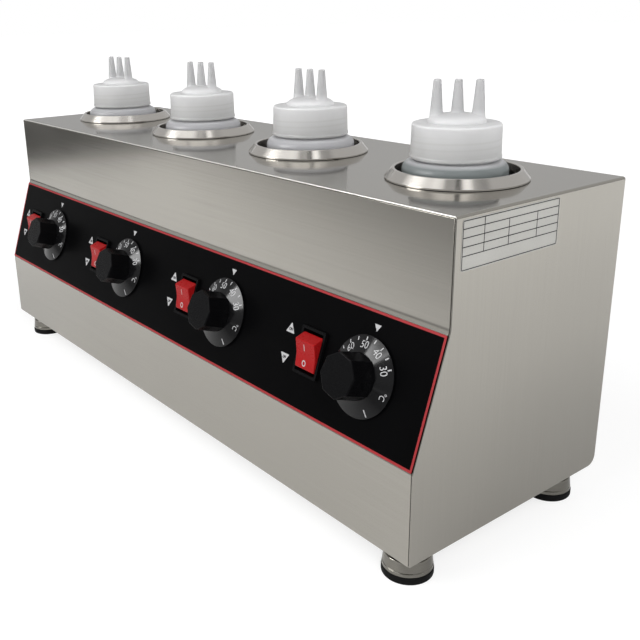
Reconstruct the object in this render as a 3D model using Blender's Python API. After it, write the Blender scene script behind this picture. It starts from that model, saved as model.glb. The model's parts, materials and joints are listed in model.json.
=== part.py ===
"""A counter-top sauce warmer with four heated wells.

The casing is bent from stainless sheet: one sheet makes both ends and the top, a second the front,
a third the back and a fourth the base. Four deep pots hang by their flanges in the top, each under a
conical ring, with a band heater round it and a squeeze bottle inside. The sloping part of the front
carries, for each well, a rocker switch and the knob of a capillary thermostat.

Lengths are in metres, +X runs along the casing to its right end, -Y faces the user and +Z is up.
The origin lies on the counter under the middle of the whole object.
"""

import math

import bmesh
import bpy
from mathutils import Euler, Matrix, Vector

MM = 0.001

# Clearances shared by many pieces
SEAT_GAP = 0.3 * MM
OVERRUN = 3.0 * MM

# Casing
CASING_LENGTH = 565.0 * MM
TOP_DEPTH = 154.3 * MM
TOP_SETBACK = 25.5 * MM
TOP_HEIGHT = 219.4 * MM
CASING_BOTTOM = 22.3 * MM
LOWER_BEND_HEIGHT = 80.7 * MM
UPPER_BEND_HEIGHT = 157.9 * MM
SHEET = 1.0 * MM
END_BEND_RADIUS = 1.7 * MM
LOWER_BEND_RADIUS = 1.5 * MM
UPPER_BEND_RADIUS = 10.0 * MM
BACK_CORNER_RADIUS = 7.0 * MM
BASE_FRONT_FLANGE = 12.0 * MM
BASE_BACK_FLANGE = 9.0 * MM

# Vents in the base and the back
VENT_LENGTH = 36.0 * MM
VENT_WIDTH = 4.0 * MM
VENT_PITCH = 11.0 * MM
BASE_VENT_ROWS = 2
BACK_VENT_ROWS = 3
BACK_VENT_DROP = 24.0 * MM

# Wells, pots and rings
WELL_COUNT = 4
WELL_END_MARGIN = 68.6 * MM
WELL_SETBACK = 79.1 * MM
WELL_CLEARANCE = 5.5 * MM
POT_WALL = 0.8 * MM
POT_DEPTH = 187.2 * MM
POT_CORNER_RADIUS = 6.0 * MM
HOLE_CLEARANCE = 0.5 * MM
RING_WIDTH = 6.35 * MM
RING_HEIGHT = 6.5 * MM
RING_FOOT_WIDTH = 1.6 * MM
RING_FOOT_HEIGHT = 0.9 * MM
RING_LIP_WIDTH = 1.9 * MM
RING_ROUNDING = 0.6 * MM

# Band heater and its sensor
BAND_THICKNESS = 2.2 * MM
BAND_HEIGHT = 70.0 * MM
BAND_RISE = 24.0 * MM
BAND_GAP_ANGLE = math.radians(26)
BAND_LUG_LENGTH = 8.0 * MM
BULB_RADIUS = 3.0 * MM
BULB_LENGTH = 78.0 * MM
BULB_NOSE = 2.0 * MM
CAPILLARY_RADIUS = 0.9 * MM
CAPILLARY_RISE = 26.0 * MM
CAPILLARY_RUN = 20.0 * MM

# Bottles
BOTTLE_RADIUS = 32.4 * MM
BOTTLE_BODY_HEIGHT = 192.2 * MM
BOTTLE_WALL = 1.2 * MM
BOTTLE_BASE_RADIUS = 4.0 * MM
SHOULDER_WIDTH = 7.4 * MM
SHOULDER_ROUNDING = 6.0 * MM
SHOULDER_RISE = 0.4 * MM
BOTTLE_SHIFTS = [(-1.3 * MM, -1.7 * MM), (0.0, 0.0), (1.0 * MM, 1.3 * MM), (-0.8 * MM, -1.0 * MM)]

# Caps, seals and nozzles
CAP_HEIGHT = 20.9 * MM
CAP_WALL = 2.0 * MM
CAP_TAPER = 0.8 * MM
CAP_TOP_WALL = 1.8 * MM
CAP_EDGE = 1.4 * MM
CAP_CLEARANCE = 0.9 * MM
CAP_STANDOFF = 1.2 * MM
SEAL_WIDTH = 3.4 * MM
SEAL_THICKNESS = 1.1 * MM
NOZZLE_COUNT = 3
NOZZLE_SPACING = 12.5 * MM
NOZZLE_HEIGHT = 25.4 * MM
NOZZLE_BASE_RADIUS = 4.4 * MM
NOZZLE_TIP_RADIUS = 2.4 * MM
NOZZLE_WALL = 1.2 * MM
DOME_MARGIN = 0.6 * MM
DOME_RISE = 5.8 * MM
NOZZLE_ROW_ANGLES = [math.radians(angle) for angle in (10, 12, 2, 38)]

# Control overlay on the slope
OVERLAY_THICKNESS = 0.5 * MM
OVERLAY_END_MARGIN = 0.8 * MM
OVERLAY_LOWER_MARGIN = 1.0 * MM
OVERLAY_UPPER_MARGIN = 2.8 * MM
CONTROL_DROP = 0.5 * MM

# Rocker switches
SWITCH_OFFSET = -29.2 * MM
BEZEL_WIDTH = 22.0 * MM
BEZEL_LENGTH = 30.4 * MM
BEZEL_HEIGHT = 2.0 * MM
BEZEL_LAP = 0.8 * MM
SWITCH_WALL = 0.7 * MM
SWITCH_DEPTH = 21.0 * MM
CAVITY_DEPTH = 9.4 * MM
BLADE_LENGTH = 8.0 * MM
BLADE_WIDTH = 6.3 * MM
BLADE_THICKNESS = 0.8 * MM
ROCKER_TILT = math.radians(16)
ROCKER_DEPTH = 2.4 * MM
ROCKER_FACE_LENGTH = 18.6 * MM
ROCKER_END_CLEARANCE = 1.4 * MM
ROCKER_RISE = 7.25 * MM
ROCKER_DISH = 1.2 * MM
ROCKER_SKIRT = 0.6 * MM
ROCKER_FOOT_LENGTH = 7.6 * MM
ROCKER_FOOT_DEPTH = 6.2 * MM

# Thermostats, spindles and knobs
KNOB_OFFSET = 17.5 * MM
THERMOSTAT_WIDTH = 40.0 * MM
THERMOSTAT_LENGTH = 34.0 * MM
THERMOSTAT_DEPTH = 22.0 * MM
BUSH_RADIUS = 5.0 * MM
BUSH_LENGTH = 2.2 * MM
BUSH_CLEARANCE = 0.5 * MM
SPINDLE_RADIUS = 3.0 * MM
SPINDLE_FLAT_DEPTH = 1.0 * MM
SPINDLE_GRIP = 9.0 * MM
SPINDLE_LENGTH = 24.0 * MM
KNOB_STANDOFF = 0.8 * MM
SKIRT_RADIUS = 24.4 * MM
SKIRT_EDGE = 0.9 * MM
SKIRT_THICKNESS = 2.6 * MM
SKIRT_CHAMFER = 0.5 * MM
GRIP_SIDES = 8
GRIP_RADIUS = 14.3 * MM
GRIP_DRAFT = 0.5 * MM
GRIP_CHAMFER = 0.8 * MM
GRIP_PHASE = math.radians(8)
KNOB_HEIGHT = 21.3 * MM

# Feet
FOOT_INSET = 21.0 * MM
PAD_RADIUS = 15.8 * MM
PAD_THICKNESS = 4.6 * MM
PAD_CHAMFER = 0.8 * MM
CUP_BOTTOM_RADIUS = 15.5 * MM
CUP_TOP_RADIUS = 13.8 * MM
CUP_GAP = 3.2 * MM
GROOVE_RISE = 2.0 * MM
GROOVE_WIDTH = 0.8 * MM
GROOVE_DEPTH = 0.5 * MM
FOOT_NECK_RADIUS = 6.5 * MM
STUD_RADIUS = 4.0 * MM
STUD_LENGTH = 12.0 * MM
FOOT_NUT_RADIUS = 7.0 * MM
FOOT_NUT_HEIGHT = 5.0 * MM

# Cable gland and terminal block
GLAND_INSET = 46.0 * MM
GLAND_RISE = 38.0 * MM
GLAND_BORE = 3.6 * MM
GLAND_THREAD_RADIUS = 7.6 * MM
GLAND_HEX_RADIUS = 11.5 * MM
GLAND_HEX_LENGTH = 4.5 * MM
GLAND_DOME_RADIUS = 8.6 * MM
GLAND_DOME_LENGTH = 7.2 * MM
GLAND_NUT_LENGTH = 4.0 * MM
BLOCK_LENGTH = 34.0 * MM
BLOCK_WIDTH = 17.0 * MM
BLOCK_HEIGHT = 15.0 * MM
BLOCK_WAYS = 3
BLOCK_HOLE_RADIUS = 2.2 * MM
BLOCK_SETBACK = 9.0 * MM

# Facets round the turned pieces
WELL_STEPS = 24
BOTTLE_STEPS = 20
CAP_STEPS = 20
NOZZLE_STEPS = 8
KNOB_STEPS = 24
FOOT_STEPS = 16
SMALL_STEPS = 12
ARC_STEPS = 2
SMOOTH_ANGLE = math.radians(35)

# Worked out from the sizes above
SLOPE_RISE = UPPER_BEND_HEIGHT - LOWER_BEND_HEIGHT
SLOPE_ANGLE = math.atan2(TOP_SETBACK, SLOPE_RISE)
SLOPE_LENGTH = math.hypot(TOP_SETBACK, SLOPE_RISE)
OVERLAY_LENGTH = SLOPE_LENGTH - OVERLAY_LOWER_MARGIN - OVERLAY_UPPER_MARGIN
OVERLAY_FACE = SEAT_GAP + OVERLAY_THICKNESS
CONTROL_UP = OVERLAY_LOWER_MARGIN + OVERLAY_LENGTH / 2 - CONTROL_DROP
KNOB_FACE = OVERLAY_FACE + KNOB_STANDOFF + KNOB_HEIGHT
FRONT_REACH = (
    KNOB_FACE * math.cos(SLOPE_ANGLE) + (GRIP_RADIUS - GRIP_DRAFT - CONTROL_UP) * math.sin(SLOPE_ANGLE)
)
BACK_REACH = GLAND_HEX_LENGTH + GLAND_DOME_LENGTH + SEAT_GAP
FRONT_Y = (FRONT_REACH - TOP_SETBACK - TOP_DEPTH - BACK_REACH) / 2
TOP_FRONT_Y = FRONT_Y + TOP_SETBACK
BACK_Y = TOP_FRONT_Y + TOP_DEPTH
END_X = CASING_LENGTH / 2
INNER_X = END_X - SHEET - SEAT_GAP
BASE_TOP = CASING_BOTTOM + SHEET
WELL_PITCH = (CASING_LENGTH - 2 * WELL_END_MARGIN) / (WELL_COUNT - 1)
WELL_Y = TOP_FRONT_Y + WELL_SETBACK
POT_BORE = BOTTLE_RADIUS + WELL_CLEARANCE
POT_RADIUS = POT_BORE + POT_WALL
RING_RADIUS = POT_BORE + RING_WIDTH
FLANGE_RADIUS = RING_RADIUS - RING_FOOT_WIDTH - SEAT_GAP
NECK_RADIUS = BOTTLE_RADIUS - SHOULDER_WIDTH
NECK_FOOT = BOTTLE_BODY_HEIGHT + SHOULDER_ROUNDING + SHOULDER_RISE
CAP_FOOT = NECK_FOOT + CAP_STANDOFF
CAP_CEILING = CAP_HEIGHT - CAP_TOP_WALL
NECK_TOP = CAP_FOOT + CAP_CEILING - SEAL_THICKNESS - 2 * SEAT_GAP
CAP_BORE = NECK_RADIUS + CAP_CLEARANCE
CAP_RADIUS = CAP_BORE + CAP_WALL
DOME_RADIUS = NOZZLE_SPACING * (NOZZLE_COUNT - 1) / 2 + NOZZLE_BASE_RADIUS + DOME_MARGIN
CAVITY_WIDTH = BEZEL_WIDTH - 2 * (BEZEL_LAP + SEAT_GAP + SWITCH_WALL)
CAVITY_LENGTH = BEZEL_LENGTH - 2 * (BEZEL_LAP + SEAT_GAP + SWITCH_WALL)
BEZEL_SEAT = OVERLAY_FACE + SEAT_GAP
BUSH_HOLE_RADIUS = BUSH_RADIUS + BUSH_CLEARANCE
WELL_XS = [(index - (WELL_COUNT - 1) / 2) * WELL_PITCH for index in range(WELL_COUNT)]


def clear_scene():
    for obj in list(bpy.data.objects):
        bpy.data.objects.remove(obj)


# Outlines in a plane


def rounded_path(corners):
    """An open path through (point, radius) corners, with an arc at each corner that has a radius."""
    path = []
    for index, (corner, radius) in enumerate(corners):
        here = Vector(corner)
        if not radius:
            path.append(here)
            continue
        to_last = (Vector(corners[index - 1][0]) - here).normalized()
        to_next = (Vector(corners[index + 1][0]) - here).normalized()
        half = to_last.angle(to_next) / 2
        centre = here + (to_last + to_next).normalized() * (radius / math.sin(half))
        start = here + to_last * (radius / math.tan(half)) - centre
        turn = start.angle_signed(here + to_next * (radius / math.tan(half)) - centre)
        for step in range(ARC_STEPS + 1):
            path.append(centre + Matrix.Rotation(-turn * step / ARC_STEPS, 2) @ start)
    return path


def offset_path(path, distance):
    """The path moved to the right of its own direction by a distance, with mitred corners."""
    moved = []
    for index, point in enumerate(path):
        before = path[index] - path[index - 1] if index else path[1] - path[0]
        after = path[index + 1] - path[index] if index + 1 < len(path) else before
        normal_before = Vector((before.y, -before.x)).normalized()
        normal_after = Vector((after.y, -after.x)).normalized()
        mitre = (normal_before + normal_after).normalized()
        moved.append(point + mitre * (distance / mitre.dot(normal_after)))
    return moved


def sheet_outline(path, thickness):
    """The closed outline of a bent sheet whose left-hand face is the path."""
    return list(path) + offset_path(path, thickness)[::-1]


def circle_outline(radius, steps, phase=0.0):
    turns = [phase + math.tau * step / steps for step in range(steps)]
    return [Vector((radius * math.cos(turn), radius * math.sin(turn))) for turn in turns]


def rectangle_outline(width, length):
    return [Vector((x * width / 2, y * length / 2)) for x, y in ((-1, -1), (1, -1), (1, 1), (-1, 1))]


def slot_outline(length, width):
    """A slot along the first axis, with round ends."""
    outline = []
    for end, start in ((1, -math.pi / 2), (-1, math.pi / 2)):
        for step in range(ARC_STEPS + 1):
            turn = start + math.pi * step / ARC_STEPS
            centre = end * (length - width) / 2
            outline.append(Vector((centre + width / 2 * math.cos(turn), width / 2 * math.sin(turn))))
    return outline


def arc(centre, radius, start, end, steps):
    """Points of an arc in a plane, from one angle to another, both ends included."""
    turns = [start + (end - start) * step / steps for step in range(steps + 1)]
    return [Vector((centre[0] + radius * math.cos(t), centre[1] + radius * math.sin(t))) for t in turns]


# Solids

PLANES = {
    "x": lambda a, b, d: (d, a, b),
    "y": lambda a, b, d: (a, d, b),
    "z": lambda a, b, d: (a, b, d),
}


def mesh_from(shape, name):
    bmesh.ops.recalc_face_normals(shape, faces=shape.faces)
    mesh = bpy.data.meshes.new(name)
    shape.to_mesh(mesh)
    shape.free()
    return mesh


def prism(outline, low, high, axis="z", scale=1.0):
    """An outline drawn out along an axis from low to high; its far end may be scaled."""
    place = PLANES[axis]
    shape = bmesh.new()
    near = [shape.verts.new(place(a, b, low)) for a, b in outline]
    far = [shape.verts.new(place(a * scale, b * scale, high)) for a, b in outline]
    shape.faces.new(near)
    shape.faces.new(far)
    for index in range(len(outline)):
        after = (index + 1) % len(outline)
        shape.faces.new((near[index], near[after], far[after], far[index]))
    return mesh_from(shape, "prism")


def turned(profile, steps, closed=True):
    """A profile of (radius, height) points spun round Z. An open one starts and ends on the axis."""
    shape = bmesh.new()
    verts = [shape.verts.new((radius, 0.0, height)) for radius, height in profile]
    pairs = list(zip(verts, verts[1:] + verts[:1])) if closed else list(zip(verts, verts[1:]))
    edges = [shape.edges.new(pair) for pair in pairs]
    bmesh.ops.spin(
        shape,
        geom=verts + edges,
        cent=(0.0, 0.0, 0.0),
        axis=(0.0, 0.0, 1.0),
        angle=math.tau,
        steps=steps,
        use_merge=True,
    )
    bmesh.ops.remove_doubles(shape, verts=shape.verts, dist=SEAT_GAP / WELL_STEPS)
    return mesh_from(shape, "turned")


def tube(route, steps):
    """A solid tube through (point, radius) stations, none of which runs along the X axis."""
    shape = bmesh.new()
    rings = []
    for index, (point, radius) in enumerate(route):
        last = route[max(index - 1, 0)][0]
        after = route[min(index + 1, len(route) - 1)][0]
        tangent = (after - last).normalized()
        across = tangent.cross(Vector((1.0, 0.0, 0.0))).normalized()
        beside = across.cross(tangent)
        circle = circle_outline(radius, steps)
        rings.append([shape.verts.new(point + beside * a + across * b) for a, b in circle])
    for near, far in zip(rings, rings[1:]):
        for index in range(steps):
            after = (index + 1) % steps
            shape.faces.new((near[index], near[after], far[after], far[index]))
    shape.faces.new(rings[0])
    shape.faces.new(rings[-1])
    return mesh_from(shape, "tube")


def moved(mesh, location=(0.0, 0.0, 0.0), rotation=(0.0, 0.0, 0.0)):
    mesh.transform(Matrix.Translation(location) @ Euler(rotation).to_matrix().to_4x4())
    return mesh


def gathered(meshes):
    """Several meshes that don't meet, held as one, to cut with."""
    shape = bmesh.new()
    for mesh in meshes:
        shape.from_mesh(mesh)
    mesh = bpy.data.meshes.new("gathered")
    shape.to_mesh(mesh)
    shape.free()
    return mesh


def combined(base, steps):
    """The base after Boolean steps, each an operation and a mesh."""
    body = bpy.data.objects.new("body", base)
    bpy.context.scene.collection.objects.link(body)
    tools = []
    for operation, mesh in steps:
        tool = bpy.data.objects.new("tool", mesh)
        tool.hide_render = True
        tool.display_type = "WIRE"
        bpy.context.scene.collection.objects.link(tool)
        tools.append(tool)
        modifier = body.modifiers.new(operation.title(), "BOOLEAN")
        modifier.operation = operation
        modifier.solver = "EXACT"
        modifier.object = tool
    graph = bpy.context.evaluated_depsgraph_get()
    result = bpy.data.meshes.new_from_object(body.evaluated_get(graph))
    for obj in [body] + tools:
        bpy.data.objects.remove(obj)
    return result


# Materials and objects


def material(name, colour, roughness, metallic=0.0, alpha=1.0):
    found = bpy.data.materials.new(name)
    found.use_nodes = True
    shader = found.node_tree.nodes["Principled BSDF"]
    shader.inputs["Base Color"].default_value = (*colour, 1.0)
    shader.inputs["Roughness"].default_value = roughness
    shader.inputs["Metallic"].default_value = metallic
    shader.inputs["Alpha"].default_value = alpha
    found.diffuse_color = (*colour, alpha)
    return found


def placed(name, mesh, look, parent=None, location=(0.0, 0.0, 0.0), rotation=(0.0, 0.0, 0.0)):
    """An object of that mesh and material, smooth where its faces meet at a small angle."""
    if not mesh.materials:
        mesh.materials.append(look)
    mesh.shade_smooth()
    mesh.set_sharp_from_angle(angle=SMOOTH_ANGLE)
    obj = bpy.data.objects.new(name, mesh)
    bpy.context.scene.collection.objects.link(obj)
    obj.parent = parent
    obj.location = location
    obj.rotation_euler = rotation
    return obj


def guide(name, location, rotation=(0.0, 0.0, 0.0)):
    """An empty that carries a group of pieces."""
    empty = bpy.data.objects.new(name, None)
    bpy.context.scene.collection.objects.link(empty)
    empty.location = location
    empty.rotation_euler = rotation
    return empty


# Casing


def front_path(top):
    """The front's outer face, from the casing's bottom up to a height."""
    return rounded_path(
        [
            ((FRONT_Y, CASING_BOTTOM), 0),
            ((FRONT_Y, LOWER_BEND_HEIGHT), LOWER_BEND_RADIUS),
            ((TOP_FRONT_Y, UPPER_BEND_HEIGHT), UPPER_BEND_RADIUS),
            ((TOP_FRONT_Y, top), 0),
        ]
    )


def back_corner():
    """The rounded corner between base and back, from the base round to the back."""
    centre = (BACK_Y - BACK_CORNER_RADIUS, CASING_BOTTOM + BACK_CORNER_RADIUS)
    return arc(centre, BACK_CORNER_RADIUS, -math.pi / 2, 0.0, 2 * ARC_STEPS)


def casing_shell_mesh():
    """An inverted U of sheet, trimmed to the casing's side outline, with a hole for each pot."""
    path = rounded_path(
        [
            ((-END_X, CASING_BOTTOM - OVERRUN), 0),
            ((-END_X, TOP_HEIGHT), END_BEND_RADIUS),
            ((END_X, TOP_HEIGHT), END_BEND_RADIUS),
            ((END_X, CASING_BOTTOM - OVERRUN), 0),
        ]
    )
    sheet = prism(sheet_outline(path, SHEET), FRONT_Y - OVERRUN, BACK_Y + OVERRUN, "y")
    side = front_path(TOP_HEIGHT + OVERRUN)
    side += [Vector((BACK_Y, TOP_HEIGHT + OVERRUN))]
    side += back_corner()[::-1]
    trim = prism(side, -END_X - OVERRUN, END_X + OVERRUN, "x")
    hole = circle_outline(POT_RADIUS + HOLE_CLEARANCE, WELL_STEPS)
    holes = [
        moved(prism(hole, TOP_HEIGHT - SHEET - OVERRUN, TOP_HEIGHT + OVERRUN), (x, WELL_Y, 0.0))
        for x in WELL_XS
    ]
    return combined(sheet, [("INTERSECT", trim), ("DIFFERENCE", gathered(holes))])


def slope_frame(x, up=0.0, out=0.0):
    """Where a point of the slope is: x along it, up from its lower bend, out from the sheet's face."""
    sine, cosine = math.sin(SLOPE_ANGLE), math.cos(SLOPE_ANGLE)
    return Vector((x, FRONT_Y + up * sine - out * cosine, LOWER_BEND_HEIGHT + up * cosine + out * sine))


SLOPE_TURN = (math.pi / 2 - SLOPE_ANGLE, 0.0, 0.0)


def control_cuts(reach):
    """Cutters for the switch and spindle openings, reaching that far either side of the slope."""
    cuts = []
    switch = rectangle_outline(
        CAVITY_WIDTH + 2 * (SWITCH_WALL + SEAT_GAP), CAVITY_LENGTH + 2 * (SWITCH_WALL + SEAT_GAP)
    )
    bush = circle_outline(BUSH_HOLE_RADIUS, SMALL_STEPS)
    for x in WELL_XS:
        for outline, offset in ((switch, SWITCH_OFFSET), (bush, KNOB_OFFSET)):
            cut = prism(outline, -reach, reach)
            cuts.append(moved(cut, slope_frame(x + offset, CONTROL_UP), SLOPE_TURN))
    return gathered(cuts)


def front_panel_mesh():
    path = front_path(TOP_HEIGHT - SHEET - SEAT_GAP)
    sheet = prism(sheet_outline(path, SHEET), -INNER_X, INNER_X, "x")
    return combined(sheet, [("DIFFERENCE", control_cuts(SHEET + OVERRUN))])


def overlay_mesh():
    """The thin control panel that lies on the slope, in the frame of the casing."""
    outline = rectangle_outline(CASING_LENGTH - 2 * OVERLAY_END_MARGIN, OVERLAY_LENGTH)
    panel = prism(outline, SEAT_GAP, OVERLAY_FACE)
    moved(panel, slope_frame(0.0, OVERLAY_LOWER_MARGIN + OVERLAY_LENGTH / 2), SLOPE_TURN)
    return combined(panel, [("DIFFERENCE", control_cuts(OVERLAY_FACE + OVERRUN))])


def base_plate_mesh():
    """A tray: a flange up behind the front, the floor, and the rounded back corner with its flange."""
    front = FRONT_Y + SHEET + SEAT_GAP
    path = [Vector((BACK_Y, CASING_BOTTOM + BACK_CORNER_RADIUS + BASE_BACK_FLANGE))]
    path += back_corner()[::-1]
    path += rounded_path(
        [
            ((BACK_Y, CASING_BOTTOM), 0),
            ((front, CASING_BOTTOM), LOWER_BEND_RADIUS),
            ((front, CASING_BOTTOM + BASE_FRONT_FLANGE), 0),
        ]
    )[1:]
    sheet = prism(sheet_outline(path, SHEET), -INNER_X, INNER_X, "x")
    low, high = CASING_BOTTOM - OVERRUN, BASE_TOP + OVERRUN
    stud = circle_outline(STUD_RADIUS + SEAT_GAP, SMALL_STEPS)
    cuts = [moved(prism(stud, low, high), (x, y, 0.0)) for x, y in foot_places()]
    vent = slot_outline(VENT_LENGTH, VENT_WIDTH)
    for x in WELL_XS:
        for row in range(BASE_VENT_ROWS):
            y = WELL_Y + (row - (BASE_VENT_ROWS - 1) / 2) * VENT_PITCH
            cuts.append(moved(prism(vent, low, high), (x, y, 0.0)))
    return combined(sheet, [("DIFFERENCE", gathered(cuts))])


def gland_place():
    return Vector((END_X - GLAND_INSET, BACK_Y, CASING_BOTTOM + GLAND_RISE))


def back_panel_mesh():
    low = CASING_BOTTOM + BACK_CORNER_RADIUS + BASE_BACK_FLANGE + SEAT_GAP
    high = TOP_HEIGHT - SHEET - SEAT_GAP
    corners = ((-INNER_X, low), (INNER_X, low), (INNER_X, high), (-INNER_X, high))
    sheet = prism(corners, BACK_Y - SHEET, BACK_Y, "y")
    near, far = BACK_Y - SHEET - OVERRUN, BACK_Y + OVERRUN
    hole = circle_outline(GLAND_THREAD_RADIUS + BUSH_CLEARANCE, SMALL_STEPS)
    place = gland_place()
    cuts = [moved(prism(hole, near, far, "y"), (place.x, 0.0, place.z))]
    vent = slot_outline(VENT_LENGTH, VENT_WIDTH)
    for x in WELL_XS:
        for row in range(BACK_VENT_ROWS):
            z = high - BACK_VENT_DROP - row * VENT_PITCH
            cuts.append(moved(prism(vent, near, far, "y"), (x, 0.0, z)))
    return combined(sheet, [("DIFFERENCE", gathered(cuts))])


# Wells. Heights are measured from the top of the casing.


def pot_mesh():
    flange_low = SEAT_GAP
    flange_high = SEAT_GAP + POT_WALL
    floor = -POT_DEPTH
    inner_corner = (POT_BORE - POT_CORNER_RADIUS, floor + POT_CORNER_RADIUS)
    inner = arc(inner_corner, POT_CORNER_RADIUS, -math.pi / 2, 0.0, ARC_STEPS)
    outer = arc(inner_corner, POT_CORNER_RADIUS + POT_WALL, -math.pi / 2, 0.0, ARC_STEPS)
    profile = [Vector((0.0, floor))] + inner
    profile += [Vector((POT_BORE, flange_high)), Vector((FLANGE_RADIUS, flange_high))]
    profile += [Vector((FLANGE_RADIUS, flange_low)), Vector((POT_RADIUS, flange_low))]
    profile += outer[::-1] + [Vector((0.0, floor - POT_WALL))]
    return turned(profile, WELL_STEPS, closed=False)


def ring_mesh():
    """A conical collar with a flat lip, hollow below where it covers the pot's flange."""
    recess_top = 2 * SEAT_GAP + POT_WALL
    recess_radius = FLANGE_RADIUS + SEAT_GAP
    lip_outer = POT_BORE + RING_LIP_WIDTH
    profile = [
        (RING_RADIUS, SEAT_GAP),
        (RING_RADIUS, SEAT_GAP + RING_FOOT_HEIGHT),
        (lip_outer, RING_HEIGHT - RING_ROUNDING / 2),
        (lip_outer - RING_ROUNDING, RING_HEIGHT),
        (POT_BORE + RING_ROUNDING, RING_HEIGHT),
        (POT_BORE, RING_HEIGHT - RING_ROUNDING),
        (POT_BORE, recess_top),
        (recess_radius, recess_top),
        (recess_radius, SEAT_GAP),
    ]
    return turned(profile, WELL_STEPS)


def band_mesh():
    """A split band round the pot; the split faces -Y and has a clamping lug at each side."""
    inner = POT_RADIUS + 2 * SEAT_GAP
    outer = inner + BAND_THICKNESS
    start = -math.pi / 2 + BAND_GAP_ANGLE / 2
    end = start + math.tau - BAND_GAP_ANGLE
    lug_end = outer + BAND_LUG_LENGTH
    lug_turn = BAND_THICKNESS / outer

    def at(radius, turn):
        return Vector((radius * math.cos(turn), radius * math.sin(turn)))

    outline = [at(lug_end, start), at(lug_end, start + lug_turn)]
    outline += arc((0.0, 0.0), outer, start + lug_turn, end - lug_turn, WELL_STEPS)
    outline += [at(lug_end, end - lug_turn), at(lug_end, end)]
    outline += arc((0.0, 0.0), inner, end, start, WELL_STEPS)
    return prism(outline, -POT_DEPTH + BAND_RISE, -POT_DEPTH + BAND_RISE + BAND_HEIGHT)


# Bottles and caps. Heights are measured from the bottle's base, and from the cap's rim.


def bottle_mesh():
    def shell(inset, base):
        """Half of the bottle's section, set in from its outer face, from the base up to the neck's foot."""
        body = BOTTLE_RADIUS - inset
        base_turn = max(BOTTLE_BASE_RADIUS - inset, inset)
        shoulder = SHOULDER_ROUNDING - inset
        centre = (BOTTLE_RADIUS - SHOULDER_ROUNDING, BOTTLE_BODY_HEIGHT)
        points = [Vector((0.0, base))]
        points += arc((body - base_turn, base + base_turn), base_turn, -math.pi / 2, 0.0, ARC_STEPS)
        points += arc(centre, shoulder, 0.0, math.pi / 2, ARC_STEPS)
        points.append(Vector((NECK_RADIUS - inset, NECK_FOOT - inset)))
        return points

    profile = shell(0.0, 0.0)
    profile += [Vector((NECK_RADIUS, NECK_TOP)), Vector((NECK_RADIUS - BOTTLE_WALL, NECK_TOP))]
    profile += shell(BOTTLE_WALL, BOTTLE_WALL)[::-1]
    return turned(profile, BOTTLE_STEPS, closed=False)


def seal_mesh():
    profile = [
        (NECK_RADIUS, 0.0),
        (NECK_RADIUS, SEAL_THICKNESS),
        (NECK_RADIUS - SEAL_WIDTH, SEAL_THICKNESS),
        (NECK_RADIUS - SEAL_WIDTH, 0.0),
    ]
    return turned(profile, BOTTLE_STEPS)


def cap_mesh():
    """A skirted cap, a low dome on its top and a row of hollow nozzles that open into the dome."""

    def dome(radius, foot, rise):
        """Points up a shallow dome, from its foot to the axis."""
        ball = (radius**2 + rise**2) / (2 * rise)
        half = math.asin(radius / ball)
        return arc((0.0, foot + rise - ball), ball, math.pi / 2 - half, math.pi / 2, ARC_STEPS)

    outer = [
        Vector((CAP_RADIUS, 0.0)),
        Vector((CAP_RADIUS - CAP_TAPER, CAP_HEIGHT - CAP_EDGE)),
        Vector((CAP_RADIUS - CAP_TAPER - CAP_EDGE, CAP_HEIGHT)),
    ]
    outer += dome(DOME_RADIUS, CAP_HEIGHT, DOME_RISE)
    outer[-1] = Vector((0.0, outer[-1].y))
    inner = [Vector((CAP_BORE, 0.0)), Vector((CAP_BORE, CAP_CEILING))]
    inner += dome(DOME_RADIUS - CAP_TOP_WALL, CAP_CEILING, DOME_RISE)
    inner[-1] = Vector((0.0, inner[-1].y))
    body = turned(outer[::-1] + inner, CAP_STEPS, closed=False)
    nozzles, bores = [], []
    tip = CAP_HEIGHT + NOZZLE_HEIGHT
    tip_share = NOZZLE_TIP_RADIUS / NOZZLE_BASE_RADIUS
    bore_radius = NOZZLE_BASE_RADIUS - NOZZLE_WALL
    bore_share = (NOZZLE_TIP_RADIUS - NOZZLE_WALL) / bore_radius
    for index in range(NOZZLE_COUNT):
        x = (index - (NOZZLE_COUNT - 1) / 2) * NOZZLE_SPACING
        cone = circle_outline(NOZZLE_BASE_RADIUS, NOZZLE_STEPS)
        cone = prism(cone, CAP_HEIGHT - CAP_EDGE, tip, "z", tip_share)
        bore = circle_outline(bore_radius, NOZZLE_STEPS)
        bore = prism(bore, CAP_CEILING - CAP_EDGE, tip + SEAT_GAP, "z", bore_share)
        nozzles.append(moved(cone, (x, 0.0, 0.0)))
        bores.append(moved(bore, (x, 0.0, 0.0)))
    return combined(body, [("UNION", gathered(nozzles)), ("DIFFERENCE", gathered(bores))])


# Controls. Heights are measured out from the sheet of the slope, at the piece's own middle.


def switch_housing_mesh():
    """A bezel before the panel, a body behind it with the rocker's cavity, and two spade terminals."""
    body_width = CAVITY_WIDTH + 2 * SWITCH_WALL
    body_length = CAVITY_LENGTH + 2 * SWITCH_WALL
    bezel_top = BEZEL_SEAT + BEZEL_HEIGHT
    bezel = prism(rectangle_outline(BEZEL_WIDTH, BEZEL_LENGTH), BEZEL_SEAT, bezel_top)
    body = prism(rectangle_outline(body_width, body_length), -SWITCH_DEPTH, BEZEL_SEAT + SEAT_GAP)
    cavity = rectangle_outline(CAVITY_WIDTH, CAVITY_LENGTH)
    cavity = prism(cavity, -CAVITY_DEPTH, bezel_top + OVERRUN)
    blades = []
    for end in (-1, 1):
        blade = rectangle_outline(BLADE_WIDTH, BLADE_THICKNESS)
        blade = prism(blade, -SWITCH_DEPTH - BLADE_LENGTH, -SWITCH_DEPTH + SWITCH_WALL)
        blades.append(moved(blade, (0.0, end * CAVITY_LENGTH / 4, 0.0)))
    return combined(bezel, [("UNION", body), ("UNION", gathered(blades)), ("DIFFERENCE", cavity)])


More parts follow.
